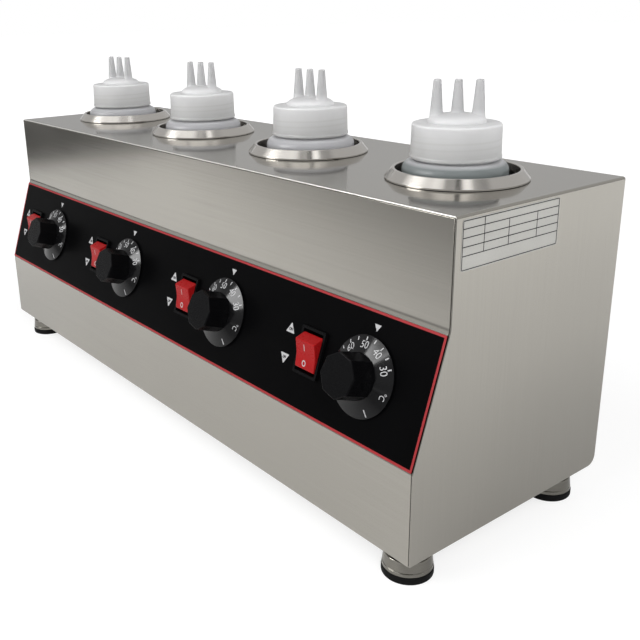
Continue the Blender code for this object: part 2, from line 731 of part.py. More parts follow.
def rocker_mesh():
    """A rocker about its pivot, level, with a dished face, steep ends and a foot below."""
    end_half = CAVITY_LENGTH / 2 - ROCKER_END_CLEARANCE
    upper = [
        Vector((0.0, ROCKER_RISE - ROCKER_DISH)),
        Vector((ROCKER_FACE_LENGTH / 2, ROCKER_RISE)),
        Vector((end_half, ROCKER_SKIRT)),
        Vector((end_half - ROCKER_DISH, -ROCKER_SKIRT)),
        Vector((ROCKER_FOOT_LENGTH / 2, -ROCKER_FOOT_DEPTH)),
    ]
    outline = upper + [Vector((-point.x, point.y)) for point in upper[:0:-1]]
    half = CAVITY_WIDTH / 2 - SEAT_GAP
    return prism(outline, -half, half, "x")


def d_outline(radius, flat_depth):
    """A circle with a flat on its lower side."""
    flat = -(radius - flat_depth)
    return [Vector((p.x, max(p.y, flat))) for p in circle_outline(radius, SMALL_STEPS)]


def sensor_mesh():
    """The thin tube from the thermostat's back, and the bulb it ends in, upright against the pot's wall."""
    dial = Matrix.Translation(slope_frame(KNOB_OFFSET, CONTROL_UP)) @ Euler(SLOPE_TURN).to_matrix().to_4x4()
    inward = dial.inverted()
    bulb_y = WELL_Y - POT_RADIUS - SEAT_GAP - BULB_RADIUS
    foot = inward @ Vector((0.0, bulb_y, TOP_HEIGHT - POT_DEPTH + BAND_RISE))
    head = inward @ Vector((0.0, bulb_y, TOP_HEIGHT - POT_DEPTH + BAND_RISE + BULB_LENGTH))
    upward = (head - foot).normalized()
    back = -(SHEET + SEAT_GAP + THERMOSTAT_DEPTH)
    end = Vector((0.0, 0.0, back + SHEET))
    lift = head + upward * CAPILLARY_RISE
    draw = end - Vector((0.0, 0.0, CAPILLARY_RUN))
    end_share = 0.5
    route = [
        (foot, BULB_RADIUS * end_share),
        (foot + upward * BULB_NOSE, BULB_RADIUS),
        (head - upward * BULB_NOSE, BULB_RADIUS),
        (head, CAPILLARY_RADIUS),
    ]
    start = head + upward * BULB_NOSE
    steps = 3 * ARC_STEPS
    for step in range(steps + 1):
        t = step / steps
        s = 1 - t
        point = start * s**3 + lift * 3 * s**2 * t + draw * 3 * s * t**2 + end * t**3
        route.append((point, CAPILLARY_RADIUS))
    return tube(route, SMALL_STEPS // 2)


def thermostat_mesh():
    """A box behind the panel with the spindle's bush, two spade terminals and a sensor on a thin tube."""
    front = -(SHEET + SEAT_GAP)
    back = front - THERMOSTAT_DEPTH
    box = prism(rectangle_outline(THERMOSTAT_WIDTH, THERMOSTAT_LENGTH), back, front)
    bush = prism(circle_outline(BUSH_RADIUS, SMALL_STEPS), front - SHEET, front + BUSH_LENGTH)
    bore = circle_outline(SPINDLE_RADIUS + SEAT_GAP, SMALL_STEPS)
    bore = prism(bore, -SPINDLE_GRIP - SEAT_GAP, front + BUSH_LENGTH + OVERRUN)
    blades = []
    for side in (-1, 1):
        blade = prism(rectangle_outline(BLADE_THICKNESS, BLADE_WIDTH), back - BLADE_LENGTH, back + SHEET)
        blades.append(moved(blade, (side * THERMOSTAT_WIDTH / 3, 0.0, 0.0)))
    steps = [("UNION", bush), ("UNION", gathered(blades)), ("UNION", sensor_mesh()), ("DIFFERENCE", bore)]
    return combined(box, steps)


def spindle_mesh():
    outline = d_outline(SPINDLE_RADIUS, SPINDLE_FLAT_DEPTH)
    return prism(outline, -SPINDLE_GRIP, SPINDLE_LENGTH - SPINDLE_GRIP)


def knob_mesh():
    """A thin conical skirt, an eight-sided grip that narrows a little, and a blind bore for the spindle."""
    foot = OVERLAY_FACE + KNOB_STANDOFF
    skirt = turned(
        [
            (0.0, foot),
            (SKIRT_RADIUS, foot),
            (SKIRT_RADIUS, foot + SKIRT_EDGE),
            (SKIRT_RADIUS - SKIRT_CHAMFER, foot + SKIRT_EDGE + SKIRT_CHAMFER),
            (GRIP_RADIUS - GRIP_DRAFT, foot + SKIRT_THICKNESS),
            (0.0, foot + SKIRT_THICKNESS),
        ],
        KNOB_STEPS,
        closed=False,
    )
    grip_top = foot + KNOB_HEIGHT - GRIP_CHAMFER
    top_radius = GRIP_RADIUS - GRIP_DRAFT
    phase = math.pi / 2 + GRIP_PHASE
    draft_share = top_radius / GRIP_RADIUS
    chamfer_share = (top_radius - GRIP_CHAMFER) / top_radius
    grip = circle_outline(GRIP_RADIUS, GRIP_SIDES, phase)
    grip = prism(grip, foot + SKIRT_EDGE, grip_top, "z", draft_share)
    crown = circle_outline(top_radius, GRIP_SIDES, phase)
    crown = prism(crown, grip_top - SEAT_GAP / 2, foot + KNOB_HEIGHT, "z", chamfer_share)
    bore = d_outline(SPINDLE_RADIUS + SEAT_GAP, SPINDLE_FLAT_DEPTH)
    bore = prism(bore, foot - OVERRUN, SPINDLE_LENGTH - SPINDLE_GRIP + SEAT_GAP)
    return combined(skirt, [("UNION", grip), ("UNION", crown), ("DIFFERENCE", bore)])


# Feet


def foot_places():
    xs = (-END_X + FOOT_INSET, END_X - FOOT_INSET)
    ys = (FRONT_Y + FOOT_INSET, BACK_Y - FOOT_INSET)
    return [(x, y) for y in ys for x in xs]


def foot_cup_mesh():
    """A flared cup with a groove round it, a neck up to the base, and a stud through it with its nut."""
    low = PAD_THICKNESS + SEAT_GAP
    high = CASING_BOTTOM - CUP_GAP
    slant = (CUP_BOTTOM_RADIUS - CUP_TOP_RADIUS) / (high - low)
    groove = low + GROOVE_RISE
    groove_radius = CUP_BOTTOM_RADIUS - slant * (groove - low)
    seat = CASING_BOTTOM - SEAT_GAP
    nut = BASE_TOP + SEAT_GAP
    profile = [
        (0.0, low),
        (CUP_BOTTOM_RADIUS, low),
        (groove_radius, groove),
        (groove_radius - GROOVE_DEPTH, groove + GROOVE_WIDTH / 2),
        (groove_radius - slant * GROOVE_WIDTH, groove + GROOVE_WIDTH),
        (CUP_TOP_RADIUS, high),
        (FOOT_NECK_RADIUS, high),
        (FOOT_NECK_RADIUS, seat),
        (STUD_RADIUS, seat),
        (STUD_RADIUS, nut),
        (FOOT_NUT_RADIUS, nut),
        (FOOT_NUT_RADIUS, nut + FOOT_NUT_HEIGHT),
        (STUD_RADIUS, nut + FOOT_NUT_HEIGHT),
        (STUD_RADIUS, seat + STUD_LENGTH),
        (0.0, seat + STUD_LENGTH),
    ]
    return turned(profile, FOOT_STEPS, closed=False)


def foot_pad_mesh():
    profile = [
        (0.0, 0.0),
        (PAD_RADIUS - PAD_CHAMFER, 0.0),
        (PAD_RADIUS, PAD_CHAMFER),
        (PAD_RADIUS, PAD_THICKNESS - PAD_CHAMFER),
        (PAD_RADIUS - PAD_CHAMFER, PAD_THICKNESS),
        (0.0, PAD_THICKNESS),
    ]
    return turned(profile, FOOT_STEPS, closed=False)


# Cable gland and terminal block


def cable_gland_mesh():
    """A gland through the back, along its own axis: a hexagon and a dome outside, a lock nut inside."""
    hexagon = circle_outline(GLAND_HEX_RADIUS, 6)
    inner_face = -(SHEET + SEAT_GAP)
    nut_low = inner_face - GLAND_NUT_LENGTH
    dome_high = SEAT_GAP + GLAND_HEX_LENGTH + GLAND_DOME_LENGTH
    flange = prism(hexagon, SEAT_GAP, SEAT_GAP + GLAND_HEX_LENGTH)
    nut = prism(hexagon, nut_low, inner_face)
    thread = prism(circle_outline(GLAND_THREAD_RADIUS, SMALL_STEPS), nut_low - SHEET, SEAT_GAP + SHEET)
    dome = prism(
        circle_outline(GLAND_DOME_RADIUS, SMALL_STEPS),
        SEAT_GAP + SHEET,
        dome_high,
        "z",
        GLAND_THREAD_RADIUS / GLAND_DOME_RADIUS,
    )
    bore = prism(circle_outline(GLAND_BORE, SMALL_STEPS), nut_low - OVERRUN, dome_high + OVERRUN)
    return combined(thread, [("UNION", flange), ("UNION", nut), ("UNION", dome), ("DIFFERENCE", bore)])


def terminal_block_mesh():
    block = prism(rectangle_outline(BLOCK_LENGTH, BLOCK_WIDTH), 0.0, BLOCK_HEIGHT)
    ways = []
    for index in range(BLOCK_WAYS):
        x = (index - (BLOCK_WAYS - 1) / 2) * BLOCK_LENGTH / BLOCK_WAYS
        outline = circle_outline(BLOCK_HOLE_RADIUS, SMALL_STEPS // 2)
        way = prism(outline, -BLOCK_WIDTH / 2 - OVERRUN, BLOCK_WIDTH / 2 + OVERRUN, "y")
        ways.append(moved(way, (x, 0.0, BLOCK_HEIGHT / 2)))
    return combined(block, [("DIFFERENCE", gathered(ways))])


def build_casing(steel, black):
    placed("casing_shell", casing_shell_mesh(), steel)
    placed("front_panel", front_panel_mesh(), steel)
    placed("back_panel", back_panel_mesh(), steel)
    placed("base_plate", base_plate_mesh(), steel)
    placed("control_overlay", overlay_mesh(), black)


def build_wells(steel, band_steel, milky, seal_rubber):
    pot, ring, band = pot_mesh(), ring_mesh(), band_mesh()
    bottle, seal, cap = bottle_mesh(), seal_mesh(), cap_mesh()
    rows = zip(WELL_XS, BOTTLE_SHIFTS, NOZZLE_ROW_ANGLES)
    for number, (x, shift, row_angle) in enumerate(rows, start=1):
        well = guide(f"well_{number}", (x, WELL_Y, TOP_HEIGHT))
        placed(f"well_pot_{number}", pot, steel, well)
        placed(f"well_ring_{number}", ring, steel, well)
        placed(f"heater_band_{number}", band, band_steel, well)
        stand = placed(f"bottle_{number}", bottle, milky, well, (*shift, -POT_DEPTH + SEAT_GAP))
        placed(f"cap_seal_{number}", seal, seal_rubber, stand, (0.0, 0.0, NECK_TOP + SEAT_GAP))
        placed(f"bottle_cap_{number}", cap, milky, stand, (0.0, 0.0, CAP_FOOT), (0.0, 0.0, row_angle))


def build_controls(black, red, brass, grey):
    housing, rocker = switch_housing_mesh(), rocker_mesh()
    thermostat, spindle, knob = thermostat_mesh(), spindle_mesh(), knob_mesh()
    for number, x in enumerate(WELL_XS, start=1):
        switch_at = guide(f"switch_{number}", slope_frame(x + SWITCH_OFFSET, CONTROL_UP), SLOPE_TURN)
        dial_at = guide(f"dial_{number}", slope_frame(x + KNOB_OFFSET, CONTROL_UP), SLOPE_TURN)
        pivot = (0.0, 0.0, OVERLAY_FACE - ROCKER_DEPTH)
        placed(f"switch_housing_{number}", housing, black, switch_at)
        placed(f"rocker_{number}", rocker, red, switch_at, pivot, (ROCKER_TILT, 0.0, 0.0))
        placed(f"thermostat_{number}", thermostat, grey, dial_at)
        placed(f"spindle_{number}", spindle, brass, dial_at)
        placed(f"knob_{number}", knob, black, dial_at)


def build_feet(steel, rubber):
    cup, pad = foot_cup_mesh(), foot_pad_mesh()
    for number, (x, y) in enumerate(foot_places(), start=1):
        placed(f"foot_cup_{number}", cup, steel, None, (x, y, 0.0))
        placed(f"foot_pad_{number}", pad, rubber, None, (x, y, 0.0))


def build_lead_entry(black, milky):
    place = gland_place()
    placed("cable_gland", cable_gland_mesh(), black, None, place, (-math.pi / 2, 0.0, 0.0))
    block_x = (WELL_XS[-2] + WELL_XS[-1]) / 2
    block_y = BACK_Y - BACK_CORNER_RADIUS - BLOCK_SETBACK - BLOCK_WIDTH / 2
    placed("terminal_block", terminal_block_mesh(), milky, None, (block_x, block_y, BASE_TOP + SEAT_GAP))


def main():
    clear_scene()
    steel = material("brushed_steel", (0.56, 0.55, 0.53), 0.32, 1.0)
    band_steel = material("band_steel", (0.42, 0.41, 0.40), 0.45, 1.0)
    brass = material("plated_brass", (0.62, 0.56, 0.42), 0.35, 1.0)
    milky = material("milky_plastic", (0.80, 0.81, 0.82), 0.42, 0.0, 0.85)
    seal_rubber = material("seal_rubber", (0.78, 0.78, 0.76), 0.6)
    black = material("black_plastic", (0.012, 0.012, 0.013), 0.35)
    red = material("red_plastic", (0.62, 0.02, 0.02), 0.35)
    grey = material("grey_plastic", (0.35, 0.35, 0.36), 0.5)
    rubber = material("black_rubber", (0.015, 0.015, 0.015), 0.7)
    build_casing(steel, black)
    build_wells(steel, band_steel, milky, seal_rubber)
    build_controls(black, red, brass, grey)
    build_feet(steel, rubber)
    build_lead_entry(black, milky)


main()
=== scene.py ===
"""The looks of a four-well sauce warmer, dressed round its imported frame.

Steel sheets with their fine edges, turned rings, milky bottles and caps, black controls with pale
scales, a soft studio and a camera. Lengths are in metres; MM turns millimetres into them.
"""

import json
from math import atan, atan2, cos, hypot, pi, radians, sin, sqrt, tan, tau

import bmesh
import bpy
from mathutils import Matrix, Vector


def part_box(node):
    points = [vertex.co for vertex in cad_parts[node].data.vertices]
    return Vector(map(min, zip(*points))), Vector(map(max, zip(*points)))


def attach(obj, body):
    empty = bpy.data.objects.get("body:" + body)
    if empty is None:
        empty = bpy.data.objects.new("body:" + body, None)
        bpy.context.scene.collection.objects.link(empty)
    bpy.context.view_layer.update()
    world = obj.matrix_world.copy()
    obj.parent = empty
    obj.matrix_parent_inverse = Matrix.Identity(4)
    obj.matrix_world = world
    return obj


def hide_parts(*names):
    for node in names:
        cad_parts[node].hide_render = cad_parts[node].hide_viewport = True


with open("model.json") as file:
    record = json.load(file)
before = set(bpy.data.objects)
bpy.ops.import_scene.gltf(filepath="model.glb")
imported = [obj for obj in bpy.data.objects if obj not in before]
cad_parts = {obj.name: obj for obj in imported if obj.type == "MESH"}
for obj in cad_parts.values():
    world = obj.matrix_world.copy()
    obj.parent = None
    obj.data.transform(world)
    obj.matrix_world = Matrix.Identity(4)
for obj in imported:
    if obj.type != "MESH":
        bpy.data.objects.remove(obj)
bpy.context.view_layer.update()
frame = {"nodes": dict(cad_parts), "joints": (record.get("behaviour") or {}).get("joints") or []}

MM = 0.001
JOINTS = {joint["name"]: joint for joint in frame["joints"]}
WELLS = (1, 2, 3, 4)

# Read from the frame
CASING_LOW, CASING_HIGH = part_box("casing_shell")
END_X = CASING_HIGH.x
FRONT_Y, BACK_Y = CASING_LOW.y, CASING_HIGH.y
CASING_BOTTOM, TOP_HEIGHT = CASING_LOW.z, CASING_HIGH.z
SLOPE_OUT = Vector(JOINTS["knob_1_turn"]["axis"])
SLOPE_ANGLE = atan2(SLOPE_OUT.z, -SLOPE_OUT.y)

# Clearances
SEAT_GAP = 0.3 * MM
OVERRUN = 3.0 * MM
PRINT_LIFT = 0.03 * MM
PRINT_THICKNESS = 0.03 * MM

# Casing
SHEET = 1.0 * MM
TOP_SETBACK = 25.5 * MM
LOWER_BEND_HEIGHT = 80.7 * MM
UPPER_BEND_HEIGHT = 157.9 * MM
END_BEND_RADIUS = 1.7 * MM
LOWER_BEND_RADIUS = 1.5 * MM
UPPER_BEND_RADIUS = 10.0 * MM
BACK_CORNER_RADIUS = 7.0 * MM
BASE_FRONT_FLANGE = 12.0 * MM
BASE_BACK_FLANGE = 9.0 * MM
SHEET_EDGE = 0.18 * MM
CASING_EDGE = 0.46 * MM
JOINT_GAP = 0.08 * MM
EDGE_LEAN = 0.2
FACING = sqrt(0.5)
VENT_LENGTH = 36.0 * MM
VENT_WIDTH = 4.0 * MM
VENT_PITCH = 11.0 * MM
BASE_VENT_ROWS = 2
BACK_VENT_ROWS = 3
BACK_VENT_DROP = 24.0 * MM
TOP_FRONT_Y = FRONT_Y + TOP_SETBACK
INNER_X = END_X - SHEET - SEAT_GAP
SLOPE_LENGTH = hypot(TOP_SETBACK, UPPER_BEND_HEIGHT - LOWER_BEND_HEIGHT)

# Wells
POT_BORE = 37.9 * MM
POT_WALL = 0.8 * MM
POT_RADIUS = POT_BORE + POT_WALL
POT_DEPTH = 187.2 * MM
POT_CORNER_RADIUS = 6.0 * MM
HOLE_CLEARANCE = 0.5 * MM
RING_RADIUS = 44.25 * MM
RING_HEIGHT = 6.5 * MM
RING_FOOT_HEIGHT = 0.9 * MM
RING_LIP_WIDTH = 1.9 * MM
RING_ROUNDING = 0.6 * MM
FLANGE_RADIUS = RING_RADIUS - 1.9 * MM

# Bottles, caps and nozzles
BOTTLE_RADIUS = 32.4 * MM
BOTTLE_BODY_HEIGHT = 192.2 * MM
BOTTLE_WALL = 1.2 * MM
BOTTLE_BASE_RADIUS = 4.0 * MM
BOTTLE_PUSH_UP = 1.5 * MM
PUSH_UP_SHARE = 0.7
SHOULDER_ROUNDING = 6.0 * MM
NECK_RADIUS = 25.0 * MM
NECK_FOOT = 198.6 * MM
NECK_TOP = 217.2 * MM
THREAD_START = 203.6 * MM
THREAD_RISE = 9.0 * MM
THREAD_TURNS = 2.0
THREAD_HEIGHT = 0.55 * MM
THREAD_WIDTH = 2.2 * MM
THREAD_FADE_SHARE = 1 / 8
CAP_HEIGHT = 20.9 * MM
CAP_RADIUS = 27.9 * MM
CAP_BORE = 25.9 * MM
CAP_TAPER = 0.8 * MM
CAP_EDGE = 1.4 * MM
CAP_TOP_WALL = 1.8 * MM
CAP_FOOT_BEAD = 1.6 * MM
NOZZLE_COUNT = 3
NOZZLE_SPACING = 12.5 * MM
NOZZLE_HEIGHT = 25.4 * MM
NOZZLE_BASE_RADIUS = 4.4 * MM
NOZZLE_TIP_RADIUS = 2.4 * MM
NOZZLE_WALL = 1.2 * MM
NOZZLE_FILLET = 1.3 * MM
DOME_RADIUS = 17.6 * MM
DOME_RISE = 5.8 * MM
DOME_POWER = 2.4
NOZZLE_ROW_ANGLES = [radians(angle) for angle in (10, 12, 2, 38)]
# Painted shade on the caps: the thread's shade seen through the side, shade deepening towards the rim, and
# darker nozzles
THREAD_SHADE_PITCH = 3.7 * MM
THREAD_SHADE_LOW = 3.5 * MM
THREAD_SHADE_HIGH = 15.0 * MM
THREAD_SHADE_FROM = 0.1
CAP_RIM_SHADE_MOST = 0.8
THREAD_SHADE_COLOUR = (0.64, 0.64, 0.635)
CAP_RIM_SHADE_COLOUR = (0.42, 0.42, 0.415)
NOZZLE_SHADE_COLOUR = (0.50, 0.50, 0.505)
# Heights of the painted shade on the bottles' shoulders where they go into the wells, and the painted shade
# colours, darker for the end bottle
BOTTLE_LIGHT_FROM = 198.2 * MM
BOTTLE_DARK_FROM = 196.2 * MM
BOTTLE_DARK_TO = 186.0 * MM
BOTTLE_MILKY_FROM = 168.0 * MM
BOTTLE_MILKY_LEAST = 0.25
BOTTLE_SHADE_COLOURS = {"bottle": (0.42, 0.42, 0.435), "bottle_end": (0.19, 0.212, 0.212)}

# Control overlay and its print, with places from a well's middle and up from the lower bend
OVERLAY_THICKNESS = 0.5 * MM
OVERLAY_FACE = SEAT_GAP + OVERLAY_THICKNESS
OVERLAY_END_MARGIN = 0.8 * MM
OVERLAY_LOWER_MARGIN = 1.0 * MM
OVERLAY_UPPER_MARGIN = 2.8 * MM
OVERLAY_CORNER = 0.8 * MM
OVERLAY_LENGTH = SLOPE_LENGTH - OVERLAY_LOWER_MARGIN - OVERLAY_UPPER_MARGIN
BORDER_INSET = 0.1 * MM
BORDER_WIDTH = 1.5 * MM
TRIANGLE_OFFSET = -52.5 * MM
TRIANGLE_HALF_WIDTH = 4.15 * MM
TRIANGLE_HEIGHT = 6.7 * MM
TRIANGLE_ROUNDING = TRIANGLE_HEIGHT / 20
# Each word's triangle: its place up the slope, which way it points, and how wide the letters run
TRIANGLE_WORDS = {"ON": (49.0 * MM, 1, 0.85), "OFF": (28.5 * MM, -1, 0.72)}
WORD_DROP = TRIANGLE_HEIGHT / 7
WORD_HEIGHT = 2.1 * MM
WORD_WEIGHT = 0.12 * MM
POINTER_OFFSET = 18.8 * MM
POINTER_UP = 68.7 * MM
POINTER_HALF_WIDTH = 2.65 * MM
POINTER_HEIGHT = 4.15 * MM

# Switches, measured from the sheet's face out
CONTROL_UP = OVERLAY_LOWER_MARGIN + OVERLAY_LENGTH / 2 - 0.5 * MM
SWITCH_OFFSET = -29.2 * MM
BEZEL_WIDTH = 22.0 * MM
BEZEL_LENGTH = 30.4 * MM
BEZEL_HEIGHT = 2.0 * MM
BEZEL_CORNER = 1.0 * MM
BEZEL_EDGE = 0.45 * MM
BEZEL_LAP = 0.8 * MM
BEZEL_SEAT = OVERLAY_FACE + SEAT_GAP
SWITCH_WALL = 0.7 * MM
SWITCH_DEPTH = 21.0 * MM
CAVITY_DEPTH = 9.4 * MM
CAVITY_WIDTH = BEZEL_WIDTH - 2 * (BEZEL_LAP + SEAT_GAP + SWITCH_WALL)
CAVITY_LENGTH = BEZEL_LENGTH - 2 * (BEZEL_LAP + SEAT_GAP + SWITCH_WALL)
BLADE_LENGTH = 8.0 * MM
BLADE_WIDTH = 6.3 * MM
BLADE_THICKNESS = 0.8 * MM
ROCKER_TILT = radians(16)
ROCKER_DEPTH = 2.4 * MM
ROCKER_FACE_LENGTH = 18.6 * MM
ROCKER_END_CLEARANCE = 1.4 * MM
ROCKER_RISE = 8.1 * MM
ROCKER_DISH = 1.2 * MM
ROCKER_SKIRT = 0.6 * MM
ROCKER_FOOT_LENGTH = 7.6 * MM
ROCKER_FOOT_DEPTH = 6.2 * MM
ROCKER_VALLEY_RADIUS = 22.0 * MM
ROCKER_CREST_RADIUS = 1.0 * MM
ROCKER_EDGE = 0.35 * MM
MARKS_SHIFT = -0.9 * MM
BAR_UP = 4.75 * MM
BAR_LENGTH = 4.4 * MM
BAR_WIDTH = 0.55 * MM
ZERO_UP = -5.5 * MM
ZERO_WIDTH = 3.4 * MM
ZERO_LENGTH = 4.0 * MM
ZERO_STROKE = 0.6 * MM

# Knobs, measured from their foot out
BUSH_HOLE_RADIUS = 5.5 * MM
SPINDLE_RADIUS = 3.0 * MM
SPINDLE_FLAT_DEPTH = 1.0 * MM
SPINDLE_TOP = 13.7 * MM
SKIRT_RADIUS = 24.4 * MM
SKIRT_EDGE = 0.9 * MM
SKIRT_CHAMFER = 0.5 * MM
SKIRT_THICKNESS = 4.6 * MM
GRIP_SIDES = 8
GRIP_RADIUS = 14.3 * MM
GRIP_DRAFT = 0.5 * MM
GRIP_CORNER = 1.1 * MM
GRIP_CROWN = 0.8 * MM
GRIP_PHASE = radians(8)
KNOB_HEIGHT = 21.3 * MM
KNOB_OFFSET = 17.5 * MM
SCALE_FIRST, SCALE_LAST, SCALE_STEP = 30, 85, 5
SCALE_START = radians(63)
SCALE_PITCH = radians(17.2)
TICK_INNER = 21.2 * MM
TICK_OUTER = 23.4 * MM
TICK_WIDTH = 0.8 * MM
DIGIT_RADIUS = 18.8 * MM
DIGIT_HEIGHT = 4.3 * MM
UNIT_ANGLE = radians(105)
UNIT_RADIUS = 20.8 * MM
UNIT_HEIGHT = 3.5 * MM
OFF_ANGLE = radians(151.5)
OFF_INNER = 19.2 * MM

# Feet
FOOT_INSET = 21.0 * MM
PAD_RADIUS = 15.8 * MM
PAD_THICKNESS = 4.6 * MM
PAD_ROUNDING = 0.9 * MM
CUP_BOTTOM_RADIUS = 15.5 * MM
CUP_TOP_RADIUS = 14.4 * MM
CUP_GAP = 8.0 * MM
CUP_ROUNDING = 0.7 * MM
GROOVE_RISE = 2.0 * MM
GROOVE_WIDTH = 0.8 * MM
GROOVE_DEPTH = 0.5 * MM
FOOT_NECK_RADIUS = 6.5 * MM
STUD_RADIUS = 4.0 * MM
STUD_LENGTH = 12.0 * MM
FOOT_NUT_RADIUS = 7.0 * MM
FOOT_NUT_HEIGHT = 5.0 * MM
FOOT_ARC_STEPS = 3

# Cable gland
GLAND_INSET = 46.0 * MM
GLAND_RISE = 38.0 * MM
GLAND_BORE = 3.6 * MM
GLAND_THREAD_RADIUS = 7.6 * MM
GLAND_HEX_RADIUS = 11.5 * MM
GLAND_HEX_LENGTH = 4.5 * MM
GLAND_DOME_RADIUS = 8.6 * MM
GLAND_DOME_LENGTH = 7.2 * MM
GLAND_NUT_LENGTH = 4.0 * MM
GLAND_RIBS = 16
GLAND_RIB_STEPS = 8

# Plate on the right end, measured back from the top's front edge and down from the top
PLATE_FRONT = 4.6 * MM
PLATE_BACK = 87.5 * MM
PLATE_TOP = 2.4 * MM
PLATE_BOTTOM = 30.3 * MM
PLATE_CORNER = 1.6 * MM
PLATE_THICKNESS = 0.12 * MM
PLATE_LINE = 0.5 * MM
PLATE_MARGIN = 0.5 * MM
PLATE_ROW_SHARES = (0.17, 0.35, 0.53, 0.71)
PLATE_COLUMN_SHARES = (0.21, 0.46, 0.76)

# Screws on the back
SCREW_RADIUS = 3.6 * MM
SCREW_HEIGHT = 2.0 * MM
SCREW_INSET = 9.0 * MM
SCREW_CROSS_LENGTH = 4.2 * MM
SCREW_CROSS_WIDTH = 1.0 * MM
SCREW_CROSS_DEPTH = 1.2 * MM

# Facets
WELL_STEPS = 128
ROUND_STEPS = 96
SMALL_STEPS = 40
ARC_STEPS = 5
EDGE_SEGMENTS = 3
LETTER_STEPS = 4
MERGE_REACH = PRINT_LIFT / 10
SMOOTH_ANGLE = radians(35)


# Outlines in a plane

CORNER_WAYS = ((-1, -1), (1, -1), (1, 1), (-1, 1))


def rounded(corners, steps=ARC_STEPS):
    """A path through (point, radius) corners, with an arc at each corner that has a radius."""
    path = []
    count = len(corners)
    for index, (corner, radius) in enumerate(corners):
        here = Vector(corner)
        if not radius:
            path.append(here)
            continue
        to_last = (Vector(corners[index - 1][0]) - here).normalized()
        to_next = (Vector(corners[(index + 1) % count][0]) - here).normalized()
        half = to_last.angle(to_next) / 2
        centre = here + (to_last + to_next).normalized() * (radius / sin(half))
        start = here + to_last * (radius / tan(half)) - centre
        turn = start.angle_signed(here + to_next * (radius / tan(half)) - centre)
        for step in range(steps + 1):
            path.append(centre + Matrix.Rotation(-turn * step / steps, 2) @ start)
    return path


def offset_path(path, distance):
    """The path moved to the right of its own direction by a distance, with mitred corners."""
    moved_path = []
    for index, point in enumerate(path):
        before = path[index] - path[index - 1] if index else path[1] - path[0]
        after = path[index + 1] - path[index] if index + 1 < len(path) else before
        normal_before = Vector((before.y, -before.x)).normalized()
        normal_after = Vector((after.y, -after.x)).normalized()
        mitre = (normal_before + normal_after).normalized()
        moved_path.append(point + mitre * (distance / mitre.dot(normal_after)))
    return moved_path


def sheet_outline(path):
    """The closed outline of a bent sheet whose left-hand face is the path."""
    return list(path) + offset_path(path, SHEET)[::-1]


def arc(centre, radius, start, end, steps=ARC_STEPS):
    turns = [start + (end - start) * step / steps for step in range(steps + 1)]
    return [Vector((centre[0] + radius * cos(t), centre[1] + radius * sin(t))) for t in turns]


def circle(radius, steps=ROUND_STEPS, phase=0.0):
    turns = [phase + tau * step / steps for step in range(steps)]
    return [Vector((radius * cos(turn), radius * sin(turn))) for turn in turns]


def polygon(radius, sides, phase, corner):
    return rounded([(point, corner) for point in circle(radius, sides, phase)])


def rectangle(width, length, corner=0.0):
    return rounded([((x * width / 2, y * length / 2), corner) for x, y in CORNER_WAYS])


def slot_outline(length, width):
    """A slot along the first axis, with round ends."""
    right = arc(((length - width) / 2, 0.0), width / 2, -pi / 2, pi / 2, 2 * ARC_STEPS)
    return right + [-point for point in right]


def d_outline(radius, flat_depth):
    flat = -(radius - flat_depth)
    return [Vector((p.x, max(p.y, flat))) for p in circle(radius, SMALL_STEPS)]


# Meshes

PLANES = {
    "x": lambda a, b, d: (d, a, b),
    "y": lambda a, b, d: (a, d, b),
    "z": lambda a, b, d: (a, b, d),
}


def linked(name, data):
    """A new object in the scene."""
    obj = bpy.data.objects.new(name, data)
    bpy.context.scene.collection.objects.link(obj)
    return obj


def evaluated(obj):
    """A mesh of an object as its modifiers leave it."""
    graph = bpy.context.evaluated_depsgraph_get()
    return bpy.data.meshes.new_from_object(obj.evaluated_get(graph))


def shaded(mesh):
    mesh.shade_smooth()
    mesh.set_sharp_from_angle(angle=SMOOTH_ANGLE)
    return mesh


def mesh_from(shape):
    bmesh.ops.recalc_face_normals(shape, faces=shape.faces)
    mesh = bpy.data.meshes.new("shape")
    shape.to_mesh(mesh)
    shape.free()
    return shaded(mesh)


def loft(sections, axis="z"):
    """A closed body through (outline, distance) sections of as many points each."""
    place = PLANES[axis]
    shape = bmesh.new()
    rings = [[shape.verts.new(place(a, b, at)) for a, b in outline] for outline, at in sections]
    shape.faces.new(rings[0])
    shape.faces.new(rings[-1])
    for near, far in zip(rings, rings[1:]):
        for index in range(len(near)):
            after = (index + 1) % len(near)
            shape.faces.new((near[index], near[after], far[after], far[index]))
    return mesh_from(shape)


def prism(outline, low, high, axis="z"):
    return loft([(outline, low), (outline, high)], axis)


def rod(radius, low, high, axis="z"):
    return prism(circle(radius, SMALL_STEPS), low, high, axis)


def turned(profile, steps=ROUND_STEPS, closed=False):
    """A profile of (radius, height) points spun round Z. An open one starts and ends on the axis."""
    shape = bmesh.new()
    verts = [shape.verts.new((radius, 0.0, height)) for radius, height in profile]
    nexts = verts[1:] + verts[:1] if closed else verts[1:]
    edges = [shape.edges.new(pair) for pair in zip(verts, nexts)]
    spin = {"cent": (0.0, 0.0, 0.0), "axis": (0.0, 0.0, 1.0), "angle": tau, "steps": steps}
    bmesh.ops.spin(shape, geom=verts + edges, use_merge=True, **spin)
    bmesh.ops.remove_doubles(shape, verts=shape.verts, dist=MERGE_REACH)
    return mesh_from(shape)


def moved(mesh, matrix):
    mesh.transform(matrix)
    return mesh


def shift(x=0.0, y=0.0, z=0.0):
    return Matrix.Translation((x, y, z))


def gathered(meshes):
    """Several meshes held as one."""
    shape = bmesh.new()
    for mesh in meshes:
        shape.from_mesh(mesh)
    mesh = bpy.data.meshes.new("gathered")
    shape.to_mesh(mesh)
    shape.free()
    return shaded(mesh)


